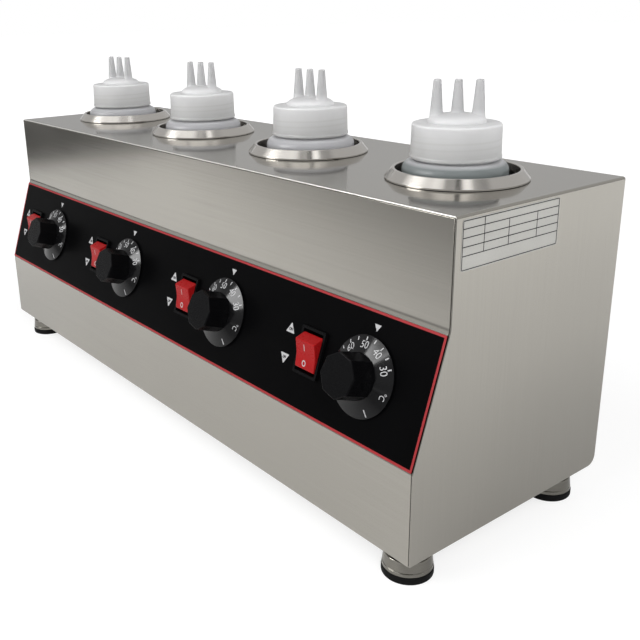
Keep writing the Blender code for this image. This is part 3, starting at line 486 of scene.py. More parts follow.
def combined(base, steps):
    """The base after Boolean steps, each an operation and a mesh."""
    body = linked("body", base)
    tools = []
    for operation, mesh in steps:
        tool = linked("tool", mesh)
        tools.append(tool)
        modifier = body.modifiers.new(operation.title(), "BOOLEAN")
        modifier.operation = operation
        modifier.solver = "EXACT"
        modifier.object = tool
    result = evaluated(body)
    for obj in [body] + tools:
        bpy.data.objects.remove(obj)
    return shaded(result)


def softened(mesh, width, segments=2):
    """The mesh with its sharp edges rounded off by a width."""
    body = linked("body", mesh)
    bevel = body.modifiers.new("Edges", "BEVEL")
    bevel.width = width
    bevel.segments = segments
    bevel.limit_method = "ANGLE"
    bevel.angle_limit = SMOOTH_ANGLE
    bevel.harden_normals = True
    result = evaluated(body)
    bpy.data.objects.remove(body)
    return result


def lettering(text, height, weight=0.0):
    """Flat letters of a height, centred on the origin in the XY plane, and fattened by a weight."""
    curve = bpy.data.curves.new("letters", "FONT")
    curve.body = text
    curve.size = height
    curve.offset = weight
    curve.resolution_u = LETTER_STEPS
    curve.extrude = PRINT_THICKNESS / 2
    letters = linked("letters", curve)
    mesh = evaluated(letters)
    bpy.data.objects.remove(letters)
    lows = [min(vert.co[axis] for vert in mesh.vertices) for axis in (0, 1)]
    highs = [max(vert.co[axis] for vert in mesh.vertices) for axis in (0, 1)]
    size_share = height / (highs[1] - lows[1])
    centre = shift(-(lows[0] + highs[0]) / 2, -(lows[1] + highs[1]) / 2)
    mesh.materials.clear()
    return moved(mesh, Matrix.Diagonal((size_share, size_share, 1.0, 1.0)) @ centre)


def flat_mark(outline):
    return prism(outline, 0.0, PRINT_THICKNESS)


def draped(mesh, height_at):
    """A flat print laid on a curved face, whose height over each point is given."""
    for vert in mesh.vertices:
        vert.co.z += height_at(vert.co.x, vert.co.y) + PRINT_LIFT
    return mesh


# Materials


def add(tree, kind, values=None, output=0, **settings):
    """A shader node with its settings and inputs, each a value or another node's output."""
    made = tree.nodes.new("ShaderNode" + kind)
    for key, value in settings.items():
        setattr(made, key, value)
    for key, value in (values or {}).items():
        if isinstance(value, bpy.types.NodeSocket):
            tree.links.new(value, made.inputs[key])
        else:
            made.inputs[key].default_value = value
    return made.outputs[output]


def calc(tree, operation, *values):
    return add(tree, "Math", dict(enumerate(values)), operation=operation)


def mixed(tree, factor, first, second):
    return add(tree, "Mix", {0: factor, 6: first, 7: second}, 2, data_type="RGBA")


def rgba(colour):
    return (*colour, 1.0)


def ranged(tree, value, low, high, low_out=0.0, high_out=1.0):
    """A value's place between two limits, held at the ends."""
    values = {"Value": value, "From Min": low, "From Max": high, "To Min": low_out, "To Max": high_out}
    return add(tree, "MapRange", values)


def straight_space(tree):
    return add(tree, "TexCoord", output=3)


def turned_space(tree):
    """Places by radius and height only, so that a grain runs round the Z axis."""
    place = add(tree, "TexCoord", output=3)
    flat = add(tree, "VectorMath", {0: place, 1: (1.0, 1.0, 0.0)}, operation="MULTIPLY")
    radius = add(tree, "VectorMath", {0: flat}, 1, operation="LENGTH")
    height = add(tree, "SeparateXYZ", {0: place}, 2)
    return add(tree, "CombineXYZ", {0: radius, 1: height})


# The spread of the two noises' sum that a surface's colour and roughness drift over
NOISE_SPAN = (0.75, 1.25)


def surface(name, colours, roughness, grain, bump, cloud=30.0, space=straight_space, **sockets):
    """A surface whose colour and roughness drift between two values, with a fine grain in relief.

    The grain is one number where it is the same all ways. The relief's depth is in millimetres.
    """
    found = bpy.data.materials.new(name)
    found.use_nodes = True
    tree = found.node_tree
    shader = tree.nodes["Principled BSDF"]
    place = space(tree)
    scale = grain if isinstance(grain, tuple) else (grain, grain, grain)
    broad = add(tree, "TexNoise", {"Vector": place, "Scale": cloud, "Detail": 3.0})
    stretched = add(tree, "Mapping", {"Vector": place, "Scale": scale})
    fine = add(tree, "TexNoise", {"Vector": stretched, "Scale": 1.0, "Detail": 3.0})
    both = calc(tree, "ADD", broad, fine)
    colour = mixed(tree, ranged(tree, both, *NOISE_SPAN), *map(rgba, colours))
    relief = add(tree, "Bump", {"Strength": bump[0], "Distance": bump[1] * MM, "Height": fine})
    tree.links.new(colour, shader.inputs["Base Color"])
    tree.links.new(ranged(tree, both, *NOISE_SPAN, *roughness), shader.inputs["Roughness"])
    tree.links.new(relief, shader.inputs["Normal"])
    for key, value in sockets.items():
        shader.inputs[key.replace("_", " ")].default_value = value
    return found


def shader_of(material):
    return material.node_tree.nodes["Principled BSDF"]


def across_grain(material, grain):
    """Draws reflections out across a grain that runs along a direction."""
    tree = material.node_tree
    normal = add(tree, "NewGeometry", output=1)
    tangent = add(tree, "VectorMath", {0: normal, 1: grain}, operation="CROSS_PRODUCT")
    tree.links.new(tangent, shader_of(material).inputs["Tangent"])
    return material


QUARTER_TURN = 0.25


def across_turning(material):
    """Draws reflections out across lines that were turned round the Z axis."""
    tree = material.node_tree
    tangent = add(tree, "Tangent", direction_type="RADIAL", axis="Z")
    tree.links.new(tangent, shader_of(material).inputs["Tangent"])
    shader_of(material).inputs["Anisotropic Rotation"].default_value = QUARTER_TURN
    return material


def tinted(material, factor, colour):
    """Draws the base colour towards another by a factor."""
    base = shader_of(material).inputs["Base Color"]
    tree = material.node_tree
    tree.links.new(mixed(tree, factor, base.links[0].from_socket, rgba(colour)), base)
    return material


def threads_behind(material):
    """Paints shade on the cap: the shade of the bottle's thread showing faintly through its side, shade that
    deepens towards its rim, and darker nozzles.
    """
    tree = material.node_tree
    place = tree.nodes.new("ShaderNodeSeparateXYZ")
    tree.links.new(straight_space(tree), place.inputs[0])
    across, ahead, height = place.outputs
    turn = calc(tree, "ARCTAN2", ahead, across)
    climb = calc(tree, "MULTIPLY", height, tau / THREAD_SHADE_PITCH)
    wave = calc(tree, "SINE", calc(tree, "SUBTRACT", climb, turn))
    low = ranged(tree, height, THREAD_SHADE_LOW, THREAD_SHADE_LOW + THREAD_SHADE_PITCH / 2)
    high = ranged(tree, height, THREAD_SHADE_HIGH, THREAD_SHADE_HIGH - THREAD_SHADE_PITCH / 2)
    band = calc(tree, "MULTIPLY", ranged(tree, wave, THREAD_SHADE_FROM, 1.0), low)
    # painted shade of the thread behind the cap's side
    tinted(material, calc(tree, "MULTIPLY", band, high), THREAD_SHADE_COLOUR)
    # painted shade, darker towards the cap's rim
    tinted(material, ranged(tree, height, CAP_HEIGHT, 0.0, 0.0, CAP_RIM_SHADE_MOST), CAP_RIM_SHADE_COLOUR)
    # painted shade, darker on the nozzles
    foot = CAP_HEIGHT + DOME_RISE / 2
    return tinted(material, ranged(tree, height, foot, foot + DOME_RISE), NOZZLE_SHADE_COLOUR)


def dark_shoulder(material, shade_colour):
    """Paints shade on a bottle, drawing it towards a shade colour where its shoulder goes into the well."""
    tree = material.node_tree
    height = add(tree, "SeparateXYZ", {0: straight_space(tree)}, 2)
    upper = ranged(tree, height, BOTTLE_LIGHT_FROM, BOTTLE_DARK_FROM)
    lower = ranged(tree, height, BOTTLE_MILKY_FROM, BOTTLE_DARK_TO, BOTTLE_MILKY_LEAST)
    return tinted(material, calc(tree, "MULTIPLY", upper, lower), shade_colour)


STEEL = ((0.412, 0.394, 0.356), (0.390, 0.373, 0.337))
ALONG, UPRIGHT = (9.0, 1500.0, 1500.0), (1500.0, 1500.0, 9.0)
METAL = {"Metallic": 1.0}
BRUSHED = {"cloud": 7.0, "Metallic": 1.0, "Anisotropic": 0.5}
TURNED = {"space": turned_space, "Metallic": 1.0}
MILKY = {"Subsurface_Radius": (1.0, 1.0, 1.0)}

# For each look what surface() takes: a name, colours, roughness, grain, relief and the rest
LOOK_TABLE = {
    "steel": ("brushed_steel", STEEL, (0.12, 0.17), ALONG, (0.05, 0.015), BRUSHED),
    "steel_top": ("brushed_steel_top", STEEL, (0.09, 0.12), ALONG, (0.05, 0.015), BRUSHED),
    "steel_ends": ("brushed_steel_ends", STEEL, (0.12, 0.17), UPRIGHT, (0.05, 0.015), BRUSHED),
    # A painted highlight: much lighter steel on the bevel of the top's front edge, for a bright line along it
    "steel_edge": (
        "burnished_edge", ((0.86, 0.84, 0.80), (0.79, 0.77, 0.73)), (0.30, 0.38), ALONG, (0.05, 0.015), METAL,
    ),
    "ring": (
        "turned_steel", ((0.60, 0.575, 0.54), (0.54, 0.515, 0.48)), (0.20, 0.25), (5200.0, 5200.0, 1.0),
        (0.10, 0.02), {**TURNED, "cloud": 60.0, "Anisotropic": 0.93},
    ),
    # The pots' steel is painted darker than steel, for the shade down in the wells.
    "pot": (
        "drawn_steel", ((0.30, 0.29, 0.27), (0.24, 0.23, 0.215)), (0.24, 0.34), (1800.0, 400.0, 1.0),
        (0.15, 0.03), {**TURNED, "Anisotropic": 0.3},
    ),
    "foot": (
        "foot_steel", ((0.25, 0.24, 0.213), (0.20, 0.19, 0.17)), (0.14, 0.22), (4000.0, 4000.0, 1.0),
        (0.12, 0.02), {**TURNED, "Anisotropic": 0.6},
    ),
    "screw": (
        "screw_steel", ((0.52, 0.51, 0.49), (0.42, 0.41, 0.39)), (0.25, 0.35), 900.0, (0.2, 0.02), METAL,
    ),
    "band": (
        "band_steel", ((0.36, 0.35, 0.34), (0.28, 0.26, 0.24)), (0.35, 0.55), (700.0, 700.0, 60.0),
        (0.3, 0.05), METAL,
    ),
    "brass": (
        "plated_brass", ((0.62, 0.56, 0.42), (0.54, 0.47, 0.33)), (0.25, 0.40), 900.0, (0.2, 0.02), METAL,
    ),
    "cap": (
        "milky_cap", ((0.71, 0.71, 0.715), (0.69, 0.69, 0.695)), (0.30, 0.40), 220.0, (0.06, 0.04),
        {**MILKY, "cloud": 25.0, "Subsurface_Weight": 0.8, "Subsurface_Scale": 3.5 * MM,
         "Transmission_Weight": 0.10},
    ),
    "seal": ("pale_seal", ((0.76, 0.76, 0.73), (0.68, 0.68, 0.65)), (0.5, 0.65), 500.0, (0.2, 0.03), {}),
    "film": (
        "black_film", ((0.0020, 0.0020, 0.0022), (0.0013, 0.0013, 0.0015)), (0.28, 0.34), 2500.0,
        (0.05, 0.01), {"Specular_IOR_Level": 0.018},
    ),
    "border": (
        "red_print", ((0.325, 0.021, 0.025), (0.285, 0.017, 0.020)), (0.38, 0.46), 1500.0,
        (0.08, 0.01), {"Specular_IOR_Level": 0.2},
    ),
    "ink": (
        "pale_ink", ((0.47, 0.47, 0.475), (0.40, 0.40, 0.41)), (0.45, 0.6), 1800.0,
        (0.2, 0.01), {"cloud": 400.0, "Specular_IOR_Level": 0.2},
    ),
    "dark_ink": (
        "dark_ink", ((0.016, 0.016, 0.017), (0.010, 0.010, 0.011)), (0.5, 0.65), 1800.0,
        (0.2, 0.01), {"Specular_IOR_Level": 0.2},
    ),
    "black": (
        "moulded_black", ((0.0040, 0.0040, 0.0043), (0.0026, 0.0026, 0.0029)), (0.30, 0.40), 2200.0,
        (0.20, 0.02), {"Specular_IOR_Level": 0.045},
    ),
    "knob": (
        "knob_black", ((0.0040, 0.0040, 0.0045), (0.0028, 0.0028, 0.0032)), (0.10, 0.15), 2600.0,
        (0.06, 0.01), {"Specular_IOR_Level": 0.24},
    ),
    "grip": (
        "grip_black", ((0.0032, 0.0032, 0.0036), (0.0022, 0.0022, 0.0026)), (0.24, 0.32), 2600.0,
        (0.10, 0.01), {"Specular_IOR_Level": 0.06},
    ),
    "red": (
        "red_rocker", ((0.33, 0.008, 0.009), (0.30, 0.006, 0.007)), (0.26, 0.34), 1200.0,
        (0.12, 0.02), {"Specular_IOR_Level": 0.10},
    ),
    "grey": ("grey_moulding", ((0.36, 0.36, 0.37), (0.30, 0.30, 0.31)), (0.45, 0.6), 1200.0, (0.3, 0.03), {}),
    "rubber": (
        "black_rubber", ((0.006, 0.006, 0.006), (0.004, 0.004, 0.004)), (0.55, 0.75), 1100.0,
        (0.5, 0.06), {"Specular_IOR_Level": 0.1},
    ),
    "plate": (
        "plate_film", ((0.45, 0.445, 0.42), (0.42, 0.415, 0.39)), (0.30, 0.36), 1200.0,
        (0.1, 0.01), {"Metallic": 0.45},
    ),
}
BOTTLE_LOOK = (
    ((0.60, 0.60, 0.615), (0.56, 0.56, 0.575)), (0.30, 0.42), (160.0, 160.0, 60.0), (0.12, 0.06),
    {**MILKY, "cloud": 40.0, "Subsurface_Weight": 0.5, "Subsurface_Scale": 2.0 * MM,
     "Transmission_Weight": 0.20},
)
GRAIN_WAYS = {"steel": (1.0, 0.0, 0.02), "steel_top": (1.0, 0.0, 0.02), "steel_ends": (0.0, 0.02, 1.0)}


def make_looks():
    """Every material, by name."""
    table = LOOK_TABLE | {name: (name, *BOTTLE_LOOK) for name in BOTTLE_SHADE_COLOURS}
    looks = {name: surface(*values, **sockets) for name, (*values, sockets) in table.items()}
    for name, grain_way in GRAIN_WAYS.items():
        across_grain(looks[name], grain_way)
    for name in ("ring", "pot", "foot"):
        across_turning(looks[name])
    for name, shade_colour in BOTTLE_SHADE_COLOURS.items():
        dark_shoulder(looks[name], shade_colour)
    threads_behind(looks["cap"])
    return looks


LOOKS = make_looks()


def weighted(mesh):
    """The mesh with normals that follow its larger faces, so that flat faces stay flat."""
    body = linked("body", mesh)
    body.modifiers.new("Normals", "WEIGHTED_NORMAL").keep_sharp = True
    result = evaluated(body)
    bpy.data.objects.remove(body)
    return result


def piece(name, mesh, looks, replaced=(), place=None, body="chassis"):
    """A finished piece in its place, riding on a body and standing for the nodes that it replaces.

    Its looks are named in one text, with a space between them.
    """
    mesh = weighted(mesh)
    mesh.materials.clear()
    for look in looks.split():
        mesh.materials.append(LOOKS[look])
    obj = linked(name, mesh)
    obj.matrix_world = place or Matrix.Identity(4)
    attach(obj, body)
    if replaced:
        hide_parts(*replaced)
    return obj


def dressed(node, look):
    """A node of the frame that keeps its own mesh and gets a finished material."""
    obj = frame["nodes"][node]
    obj.data.materials.clear()
    obj.data.materials.append(LOOKS[look])


# Casing


def front_path(top):
    corners = [
        ((FRONT_Y, CASING_BOTTOM), 0),
        ((FRONT_Y, LOWER_BEND_HEIGHT), LOWER_BEND_RADIUS),
        ((TOP_FRONT_Y, UPPER_BEND_HEIGHT), UPPER_BEND_RADIUS),
        ((TOP_FRONT_Y, top), 0),
    ]
    return rounded(corners, 2 * ARC_STEPS)


def back_corner():
    centre = (BACK_Y - BACK_CORNER_RADIUS, CASING_BOTTOM + BACK_CORNER_RADIUS)
    return arc(centre, BACK_CORNER_RADIUS, -pi / 2, 0.0, 2 * ARC_STEPS)


def well_place(number):
    low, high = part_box(f"well_ring_{number}")
    return Vector(((low.x + high.x) / 2, (low.y + high.y) / 2, TOP_HEIGHT))


def slope_turn():
    return Matrix.Rotation(pi / 2 - SLOPE_ANGLE, 4, "X")


def slope_point(x, up, out=0.0):
    """A point of the slope: x along it, up from its lower bend, out from the sheet's face."""
    sine, cosine = sin(SLOPE_ANGLE), cos(SLOPE_ANGLE)
    return Vector((x, FRONT_Y + up * sine - out * cosine, LOWER_BEND_HEIGHT + up * cosine + out * sine))


def slope_place(x, up, out=0.0):
    return Matrix.Translation(slope_point(x, up, out)) @ slope_turn()


def casing_shell():
    corners = [
        ((-END_X, CASING_BOTTOM - OVERRUN), 0),
        ((-END_X, TOP_HEIGHT), END_BEND_RADIUS),
        ((END_X, TOP_HEIGHT), END_BEND_RADIUS),
        ((END_X, CASING_BOTTOM - OVERRUN), 0),
    ]
    path = rounded(corners, 2 * ARC_STEPS)
    sheet = prism(sheet_outline(path), FRONT_Y - OVERRUN, BACK_Y + OVERRUN, "y")
    side = front_path(TOP_HEIGHT + OVERRUN)
    side += [Vector((BACK_Y, TOP_HEIGHT + OVERRUN))]
    side += back_corner()[::-1]
    trim = prism(side, -END_X - OVERRUN, END_X + OVERRUN, "x")
    holes = []
    for number in WELLS:
        hole = prism(circle(POT_RADIUS + HOLE_CLEARANCE), -SHEET - OVERRUN, OVERRUN)
        holes.append(moved(hole, Matrix.Translation(well_place(number))))
    mesh = combined(sheet, [("INTERSECT", trim), ("DIFFERENCE", gathered(holes))])
    mesh = softened(mesh, CASING_EDGE, EDGE_SEGMENTS)
    looks = "steel steel_ends steel_top steel_edge"
    obj = piece("casing_sheet", mesh, looks, ("casing_shell",))
    for face in obj.data.polygons:
        across, ahead, upward = face.normal
        if abs(across) > FACING:
            face.material_index = 1
        # The bevel of the top's front edge takes the painted highlight.
        elif face.center.z > TOP_HEIGHT - SHEET and ahead < -EDGE_LEAN and upward > EDGE_LEAN:
            face.material_index = 3
        elif abs(upward) > FACING:
            face.material_index = 2


def control_cuts(reach):
    cuts = []
    around = 2 * (SWITCH_WALL + SEAT_GAP)
    body = rectangle(CAVITY_WIDTH + around, CAVITY_LENGTH + around)
    bush = circle(BUSH_HOLE_RADIUS, SMALL_STEPS)
    for number in WELLS:
        x = well_place(number).x
        for outline, offset in ((body, SWITCH_OFFSET), (bush, KNOB_OFFSET)):
            cut = prism(outline, -reach, reach)
            cuts.append(moved(cut, slope_place(x + offset, CONTROL_UP)))
    return gathered(cuts)


def front_sheet():
    sheet = prism(sheet_outline(front_path(TOP_HEIGHT - SHEET - JOINT_GAP)), -INNER_X, INNER_X, "x")
    mesh = softened(combined(sheet, [("DIFFERENCE", control_cuts(SHEET + OVERRUN))]), SHEET_EDGE)
    piece("front_sheet", mesh, "steel", ("front_panel",))


def vent_cuts(rows, middle, low, high, axis):
    """Slots in rows round each well's middle line, through a sheet square to an axis."""
    cuts = []
    slot = slot_outline(VENT_LENGTH, VENT_WIDTH)
    for number in WELLS:
        x = well_place(number).x
        for row in range(rows):
            vent = [Vector((a + x, b + middle(row))) for a, b in slot]
            cuts.append(prism(vent, low, high, axis))
    return cuts


def base_sheet():
    front = FRONT_Y + SHEET + SEAT_GAP
    path = [Vector((BACK_Y, CASING_BOTTOM + BACK_CORNER_RADIUS + BASE_BACK_FLANGE))]
    path += back_corner()[::-1]
    corners = [
        ((BACK_Y, CASING_BOTTOM), 0),
        ((front, CASING_BOTTOM), LOWER_BEND_RADIUS),
        ((front, CASING_BOTTOM + BASE_FRONT_FLANGE), 0),
    ]
    path += rounded(corners)[1:]
    sheet = prism(sheet_outline(path), -INNER_X, INNER_X, "x")
    low, high = CASING_BOTTOM - OVERRUN, CASING_BOTTOM + SHEET + OVERRUN
    well_y = well_place(1).y

    def middle(row):
        return well_y + (row - (BASE_VENT_ROWS - 1) / 2) * VENT_PITCH

    cuts = vent_cuts(BASE_VENT_ROWS, middle, low, high, "z")
    for x, y in foot_places():
        cuts.append(moved(rod(STUD_RADIUS + SEAT_GAP, low, high), shift(x, y)))
    mesh = softened(combined(sheet, [("DIFFERENCE", gathered(cuts))]), SHEET_EDGE)
    piece("base_sheet", mesh, "steel", ("base_plate",))


def gland_place():
    return Vector((END_X - GLAND_INSET, BACK_Y, CASING_BOTTOM + GLAND_RISE))


def back_sheet():
    low = CASING_BOTTOM + BACK_CORNER_RADIUS + BASE_BACK_FLANGE + SEAT_GAP
    high = TOP_HEIGHT - SHEET - SEAT_GAP
    corners = ((-INNER_X, low), (INNER_X, low), (INNER_X, high), (-INNER_X, high))
    sheet = prism([Vector(corner) for corner in corners], BACK_Y - SHEET, BACK_Y, "y")
    near, far = BACK_Y - SHEET - OVERRUN, BACK_Y + OVERRUN

    def middle(row):
        return high - BACK_VENT_DROP - row * VENT_PITCH

    cuts = vent_cuts(BACK_VENT_ROWS, middle, near, far, "y")
    place = gland_place()
    hole = rod(GLAND_THREAD_RADIUS + HOLE_CLEARANCE, near, far, "y")
    cuts.append(moved(hole, shift(place.x, 0.0, place.z)))
    mesh = softened(combined(sheet, [("DIFFERENCE", gathered(cuts))]), SHEET_EDGE)
    piece("back_sheet", mesh, "steel", ("back_panel",))
    back_screws(low, high)


def back_screws(low, high):
    """Pan-head screws with cross recesses near the corners of the back."""
    head = [
        ((0.0, 0.0), 0),
        ((SCREW_RADIUS, 0.0), 0),
        ((SCREW_RADIUS, SCREW_HEIGHT), SCREW_HEIGHT / 2),
        ((0.0, SCREW_HEIGHT), 0),
    ]
    cross_low, cross_high = SCREW_HEIGHT - SCREW_CROSS_DEPTH, SCREW_HEIGHT + OVERRUN
    crosses = []
    for size in ((SCREW_CROSS_LENGTH, SCREW_CROSS_WIDTH), (SCREW_CROSS_WIDTH, SCREW_CROSS_LENGTH)):
        crosses.append(("DIFFERENCE", prism(rectangle(*size), cross_low, cross_high)))
    screw = combined(turned(rounded(head), SMALL_STEPS), crosses)
    screws = []
    for x in (-INNER_X + SCREW_INSET, 0.0, INNER_X - SCREW_INSET):
        for z in (low + SCREW_INSET, high - SCREW_INSET):
            place = shift(x, BACK_Y, z) @ Matrix.Rotation(-pi / 2, 4, "X")
            screws.append(moved(screw.copy(), place @ Matrix.Rotation(x + z, 4, "Z")))
    piece("back_screws", gathered(screws), "screw")


# Control overlay


def frame_outline_mesh(width, length, corner, stroke, low, high):
    """A flat frame with rounded outer corners."""
    outer = prism(rectangle(width, length, corner), low, high)
    inner = prism(rectangle(width - 2 * stroke, length - 2 * stroke), low - OVERRUN, high + OVERRUN)
    return combined(outer, [("DIFFERENCE", inner)])


def overlay():
    width = 2 * (END_X - OVERLAY_END_MARGIN)
    centre = slope_place(0.0, OVERLAY_LOWER_MARGIN + OVERLAY_LENGTH / 2)
    film = prism(rectangle(width, OVERLAY_LENGTH, OVERLAY_CORNER), SEAT_GAP, OVERLAY_FACE)
    cuts = moved(control_cuts(OVERLAY_FACE + OVERRUN), centre.inverted())
    film = combined(film, [("DIFFERENCE", cuts)])
    piece("overlay_film", film, "film", ("control_overlay",), centre)
    border = frame_outline_mesh(
        width - 2 * BORDER_INSET,
        OVERLAY_LENGTH - 2 * BORDER_INSET,
        OVERLAY_CORNER,
        BORDER_WIDTH,
        OVERLAY_FACE + PRINT_LIFT,
        OVERLAY_FACE + PRINT_LIFT + PRINT_THICKNESS,
    )
    piece("overlay_border", border, "border", (), centre)


def triangle(half_width, height, way):
    """A triangle that points up the slope (1) or down it (-1), centred on its height."""
    base, tip = -way * height / 2, way * height / 2
    return [Vector((-half_width, base)), Vector((half_width, base)), Vector((0.0, tip))]


def overlay_marks(number):
    x = well_place(number).x
    pale, dark = [], []
    for word, (up, way, wide) in TRIANGLE_WORDS.items():
        place = slope_place(x + TRIANGLE_OFFSET, up, OVERLAY_FACE + PRINT_LIFT)
        corners = triangle(TRIANGLE_HALF_WIDTH, TRIANGLE_HEIGHT, way)
        mark = flat_mark(rounded([(corner, TRIANGLE_ROUNDING) for corner in corners]))
        pale.append(moved(mark, place))
        letters = lettering(word, WORD_HEIGHT, WORD_WEIGHT)
        drop = shift(0.0, -way * WORD_DROP, 2 * PRINT_LIFT)
        dark.append(moved(letters, place @ drop @ Matrix.Diagonal((wide, 1.0, 1.0, 1.0))))
    pointer = flat_mark(triangle(POINTER_HALF_WIDTH, POINTER_HEIGHT, -1))
    pale.append(moved(pointer, slope_place(x + POINTER_OFFSET, POINTER_UP, OVERLAY_FACE + PRINT_LIFT)))
    piece(f"panel_marks_{number}", gathered(pale), "ink")
    piece(f"panel_words_{number}", gathered(dark), "dark_ink")


# Wells


def well(number):
    place = Matrix.Translation(well_place(number))
    flange_low, flange_high = SEAT_GAP, SEAT_GAP + POT_WALL
    corner = (POT_BORE - POT_CORNER_RADIUS, POT_CORNER_RADIUS - POT_DEPTH)
    inner = arc(corner, POT_CORNER_RADIUS, -pi / 2, 0.0, 2 * ARC_STEPS)
    outer = arc(corner, POT_CORNER_RADIUS + POT_WALL, -pi / 2, 0.0, 2 * ARC_STEPS)
    profile = [(0.0, -POT_DEPTH)] + inner
    profile += [(POT_BORE, flange_high), (FLANGE_RADIUS - SEAT_GAP, flange_high)]
    profile += [(FLANGE_RADIUS - SEAT_GAP, flange_low), (POT_RADIUS, flange_low)]
    profile += outer[::-1] + [(0.0, -POT_DEPTH - POT_WALL)]
    pot = turned(profile, WELL_STEPS)
    piece(f"pot_{number}", pot, "pot", (f"well_pot_{number}",), place)
    recess_top = 2 * SEAT_GAP + POT_WALL
    lip_outer = POT_BORE + RING_LIP_WIDTH
    corners = [
        ((RING_RADIUS, SEAT_GAP), 0),
        ((RING_RADIUS, SEAT_GAP + RING_FOOT_HEIGHT), RING_ROUNDING / 2),
        ((lip_outer, RING_HEIGHT), RING_ROUNDING),
        ((POT_BORE, RING_HEIGHT), RING_ROUNDING),
        ((POT_BORE, recess_top), 0),
        ((FLANGE_RADIUS, recess_top), 0),
        ((FLANGE_RADIUS, SEAT_GAP), 0),
    ]
    ring = turned(rounded(corners), WELL_STEPS, closed=True)
    piece(f"ring_{number}", ring, "ring", (f"well_ring_{number}",), place)


# Bottles and caps. Heights are measured from the bottle's base, and from the cap's rim.


def thread_mesh():
    """A ridge that winds up the neck and fades in and out at its ends."""
    shape = bmesh.new()
    steps = int(ROUND_STEPS * THREAD_TURNS)
    last = None
    for step in range(steps + 1):
        along = step / steps
        turn = along * THREAD_TURNS * tau
        fade = min(1.0, along / THREAD_FADE_SHARE, (1 - along) / THREAD_FADE_SHARE)
        middle = THREAD_START + THREAD_RISE * along
        section = []
        for reach, half in ((-BOTTLE_WALL / 4, THREAD_WIDTH / 2), (THREAD_HEIGHT * fade, THREAD_WIDTH / 6)):
            for side in (1, -1) if reach < 0 else (-1, 1):
                radius = NECK_RADIUS + reach
                height = middle + side * half
                section.append(shape.verts.new((radius * cos(turn), radius * sin(turn), height)))
        if last:
            for index in range(len(section)):
                after = (index + 1) % len(section)
                shape.faces.new((last[index], last[after], section[after], section[index]))
        else:
            shape.faces.new(section)
        last = section
    shape.faces.new(last)
    return mesh_from(shape)


def bottle(number):
    def shell(inset, base):
        """Half of the bottle's section, set in from its outer face, from the base to the neck's foot."""
        body = BOTTLE_RADIUS - inset
        turn = max(BOTTLE_BASE_RADIUS - inset, inset)
        centre = (BOTTLE_RADIUS - SHOULDER_ROUNDING, BOTTLE_BODY_HEIGHT)
        points = [(0.0, base + BOTTLE_PUSH_UP), (body * PUSH_UP_SHARE, base + BOTTLE_PUSH_UP)]
        points += arc((body - turn, base + turn), turn, -pi / 2, 0.0, 2 * ARC_STEPS)
        points += arc(centre, SHOULDER_ROUNDING - inset, 0.0, pi / 2, 2 * ARC_STEPS)
        return points + [(NECK_RADIUS - inset, NECK_FOOT - inset)]

    profile = shell(0.0, 0.0)
    inner_lip = NECK_RADIUS - BOTTLE_WALL
    profile += arc(((NECK_RADIUS + inner_lip) / 2, NECK_TOP - BOTTLE_WALL / 2), BOTTLE_WALL / 2, 0.0, pi)
    profile += shell(BOTTLE_WALL, BOTTLE_WALL)[::-1]
    mesh = gathered([turned(profile), thread_mesh()])
    low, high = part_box(f"bottle_{number}")
    place = Matrix.Translation(((low.x + high.x) / 2, (low.y + high.y) / 2, low.z))
    name = f"bottle_{number}"
    # The end bottle gets a darker painted shade.
    look = "bottle_end" if number == WELLS[-1] else "bottle"
    piece(f"squeeze_{name}", mesh, look, (name,), place, name)


def dome_height(x, y):
    """The height of the cap's top over a point: a full, flat-topped dome on a flat rim."""
    reach = min(hypot(x, y) / DOME_RADIUS, 1.0)
    return CAP_HEIGHT + DOME_RISE * (1 - reach**DOME_POWER) ** (1 / DOME_POWER)


def dome(radius, drop):
    """Points up the dome from its foot to the axis, drawn in to a radius and let down by a drop."""
    points = []
    for point in arc((0.0, 0.0), 1.0, 0.0, pi / 2, 4 * ARC_STEPS)[:-1]:
        reach, height = point.x ** (2 / DOME_POWER), point.y ** (2 / DOME_POWER)
        points.append((radius * reach, CAP_HEIGHT - drop + DOME_RISE * height))
    return points + [(0.0, CAP_HEIGHT - drop + DOME_RISE)]


def nozzle_mesh(x):
    """A nozzle at a place along the row. Its foot flares out and follows the dome all round."""
    tip = CAP_HEIGHT + NOZZLE_HEIGHT
    lean = (NOZZLE_BASE_RADIUS - NOZZLE_TIP_RADIUS) / NOZZLE_HEIGHT
    flare = arc((NOZZLE_FILLET, NOZZLE_FILLET), NOZZLE_FILLET, -pi / 2, -pi)
    edge = NOZZLE_WALL / 2
    lip = arc((NOZZLE_TIP_RADIUS - edge, tip - edge), edge, 0.0, pi / 2)
    shape = bmesh.new()
    columns = []
    for way in circle(1.0, SMALL_STEPS):
        ground = dome_height(x + NOZZLE_BASE_RADIUS * way.x, NOZZLE_BASE_RADIUS * way.y)
        root = NOZZLE_BASE_RADIUS - lean * (ground - CAP_HEIGHT)
        side = []
        for out, up in flare:
            radius = root + out - lean * up
            side.append((radius, dome_height(x + radius * way.x, radius * way.y) + up - PRINT_LIFT))
        side.insert(0, (side[0][0], CAP_HEIGHT - CAP_EDGE))
        side += [tuple(point) for point in lip]
        columns.append([shape.verts.new((x + radius * way.x, radius * way.y, z)) for radius, z in side])
    for index, column in enumerate(columns):
        after = columns[(index + 1) % SMALL_STEPS]
        for low in range(len(column) - 1):
            shape.faces.new((column[low], after[low], after[low + 1], column[low + 1]))
    shape.faces.new([column[0] for column in columns])
    shape.faces.new([column[-1] for column in columns])
    return mesh_from(shape)


def bore_mesh(x):
    """The way through the cap and up a nozzle."""
    low, high = CAP_HEIGHT - CAP_TOP_WALL - CAP_EDGE, CAP_HEIGHT + NOZZLE_HEIGHT + SEAT_GAP
    sections = [(circle(NOZZLE_BASE_RADIUS - NOZZLE_WALL, SMALL_STEPS), low)]
    sections.append((circle(NOZZLE_TIP_RADIUS - NOZZLE_WALL, SMALL_STEPS), high))
    return moved(loft(sections), shift(x))


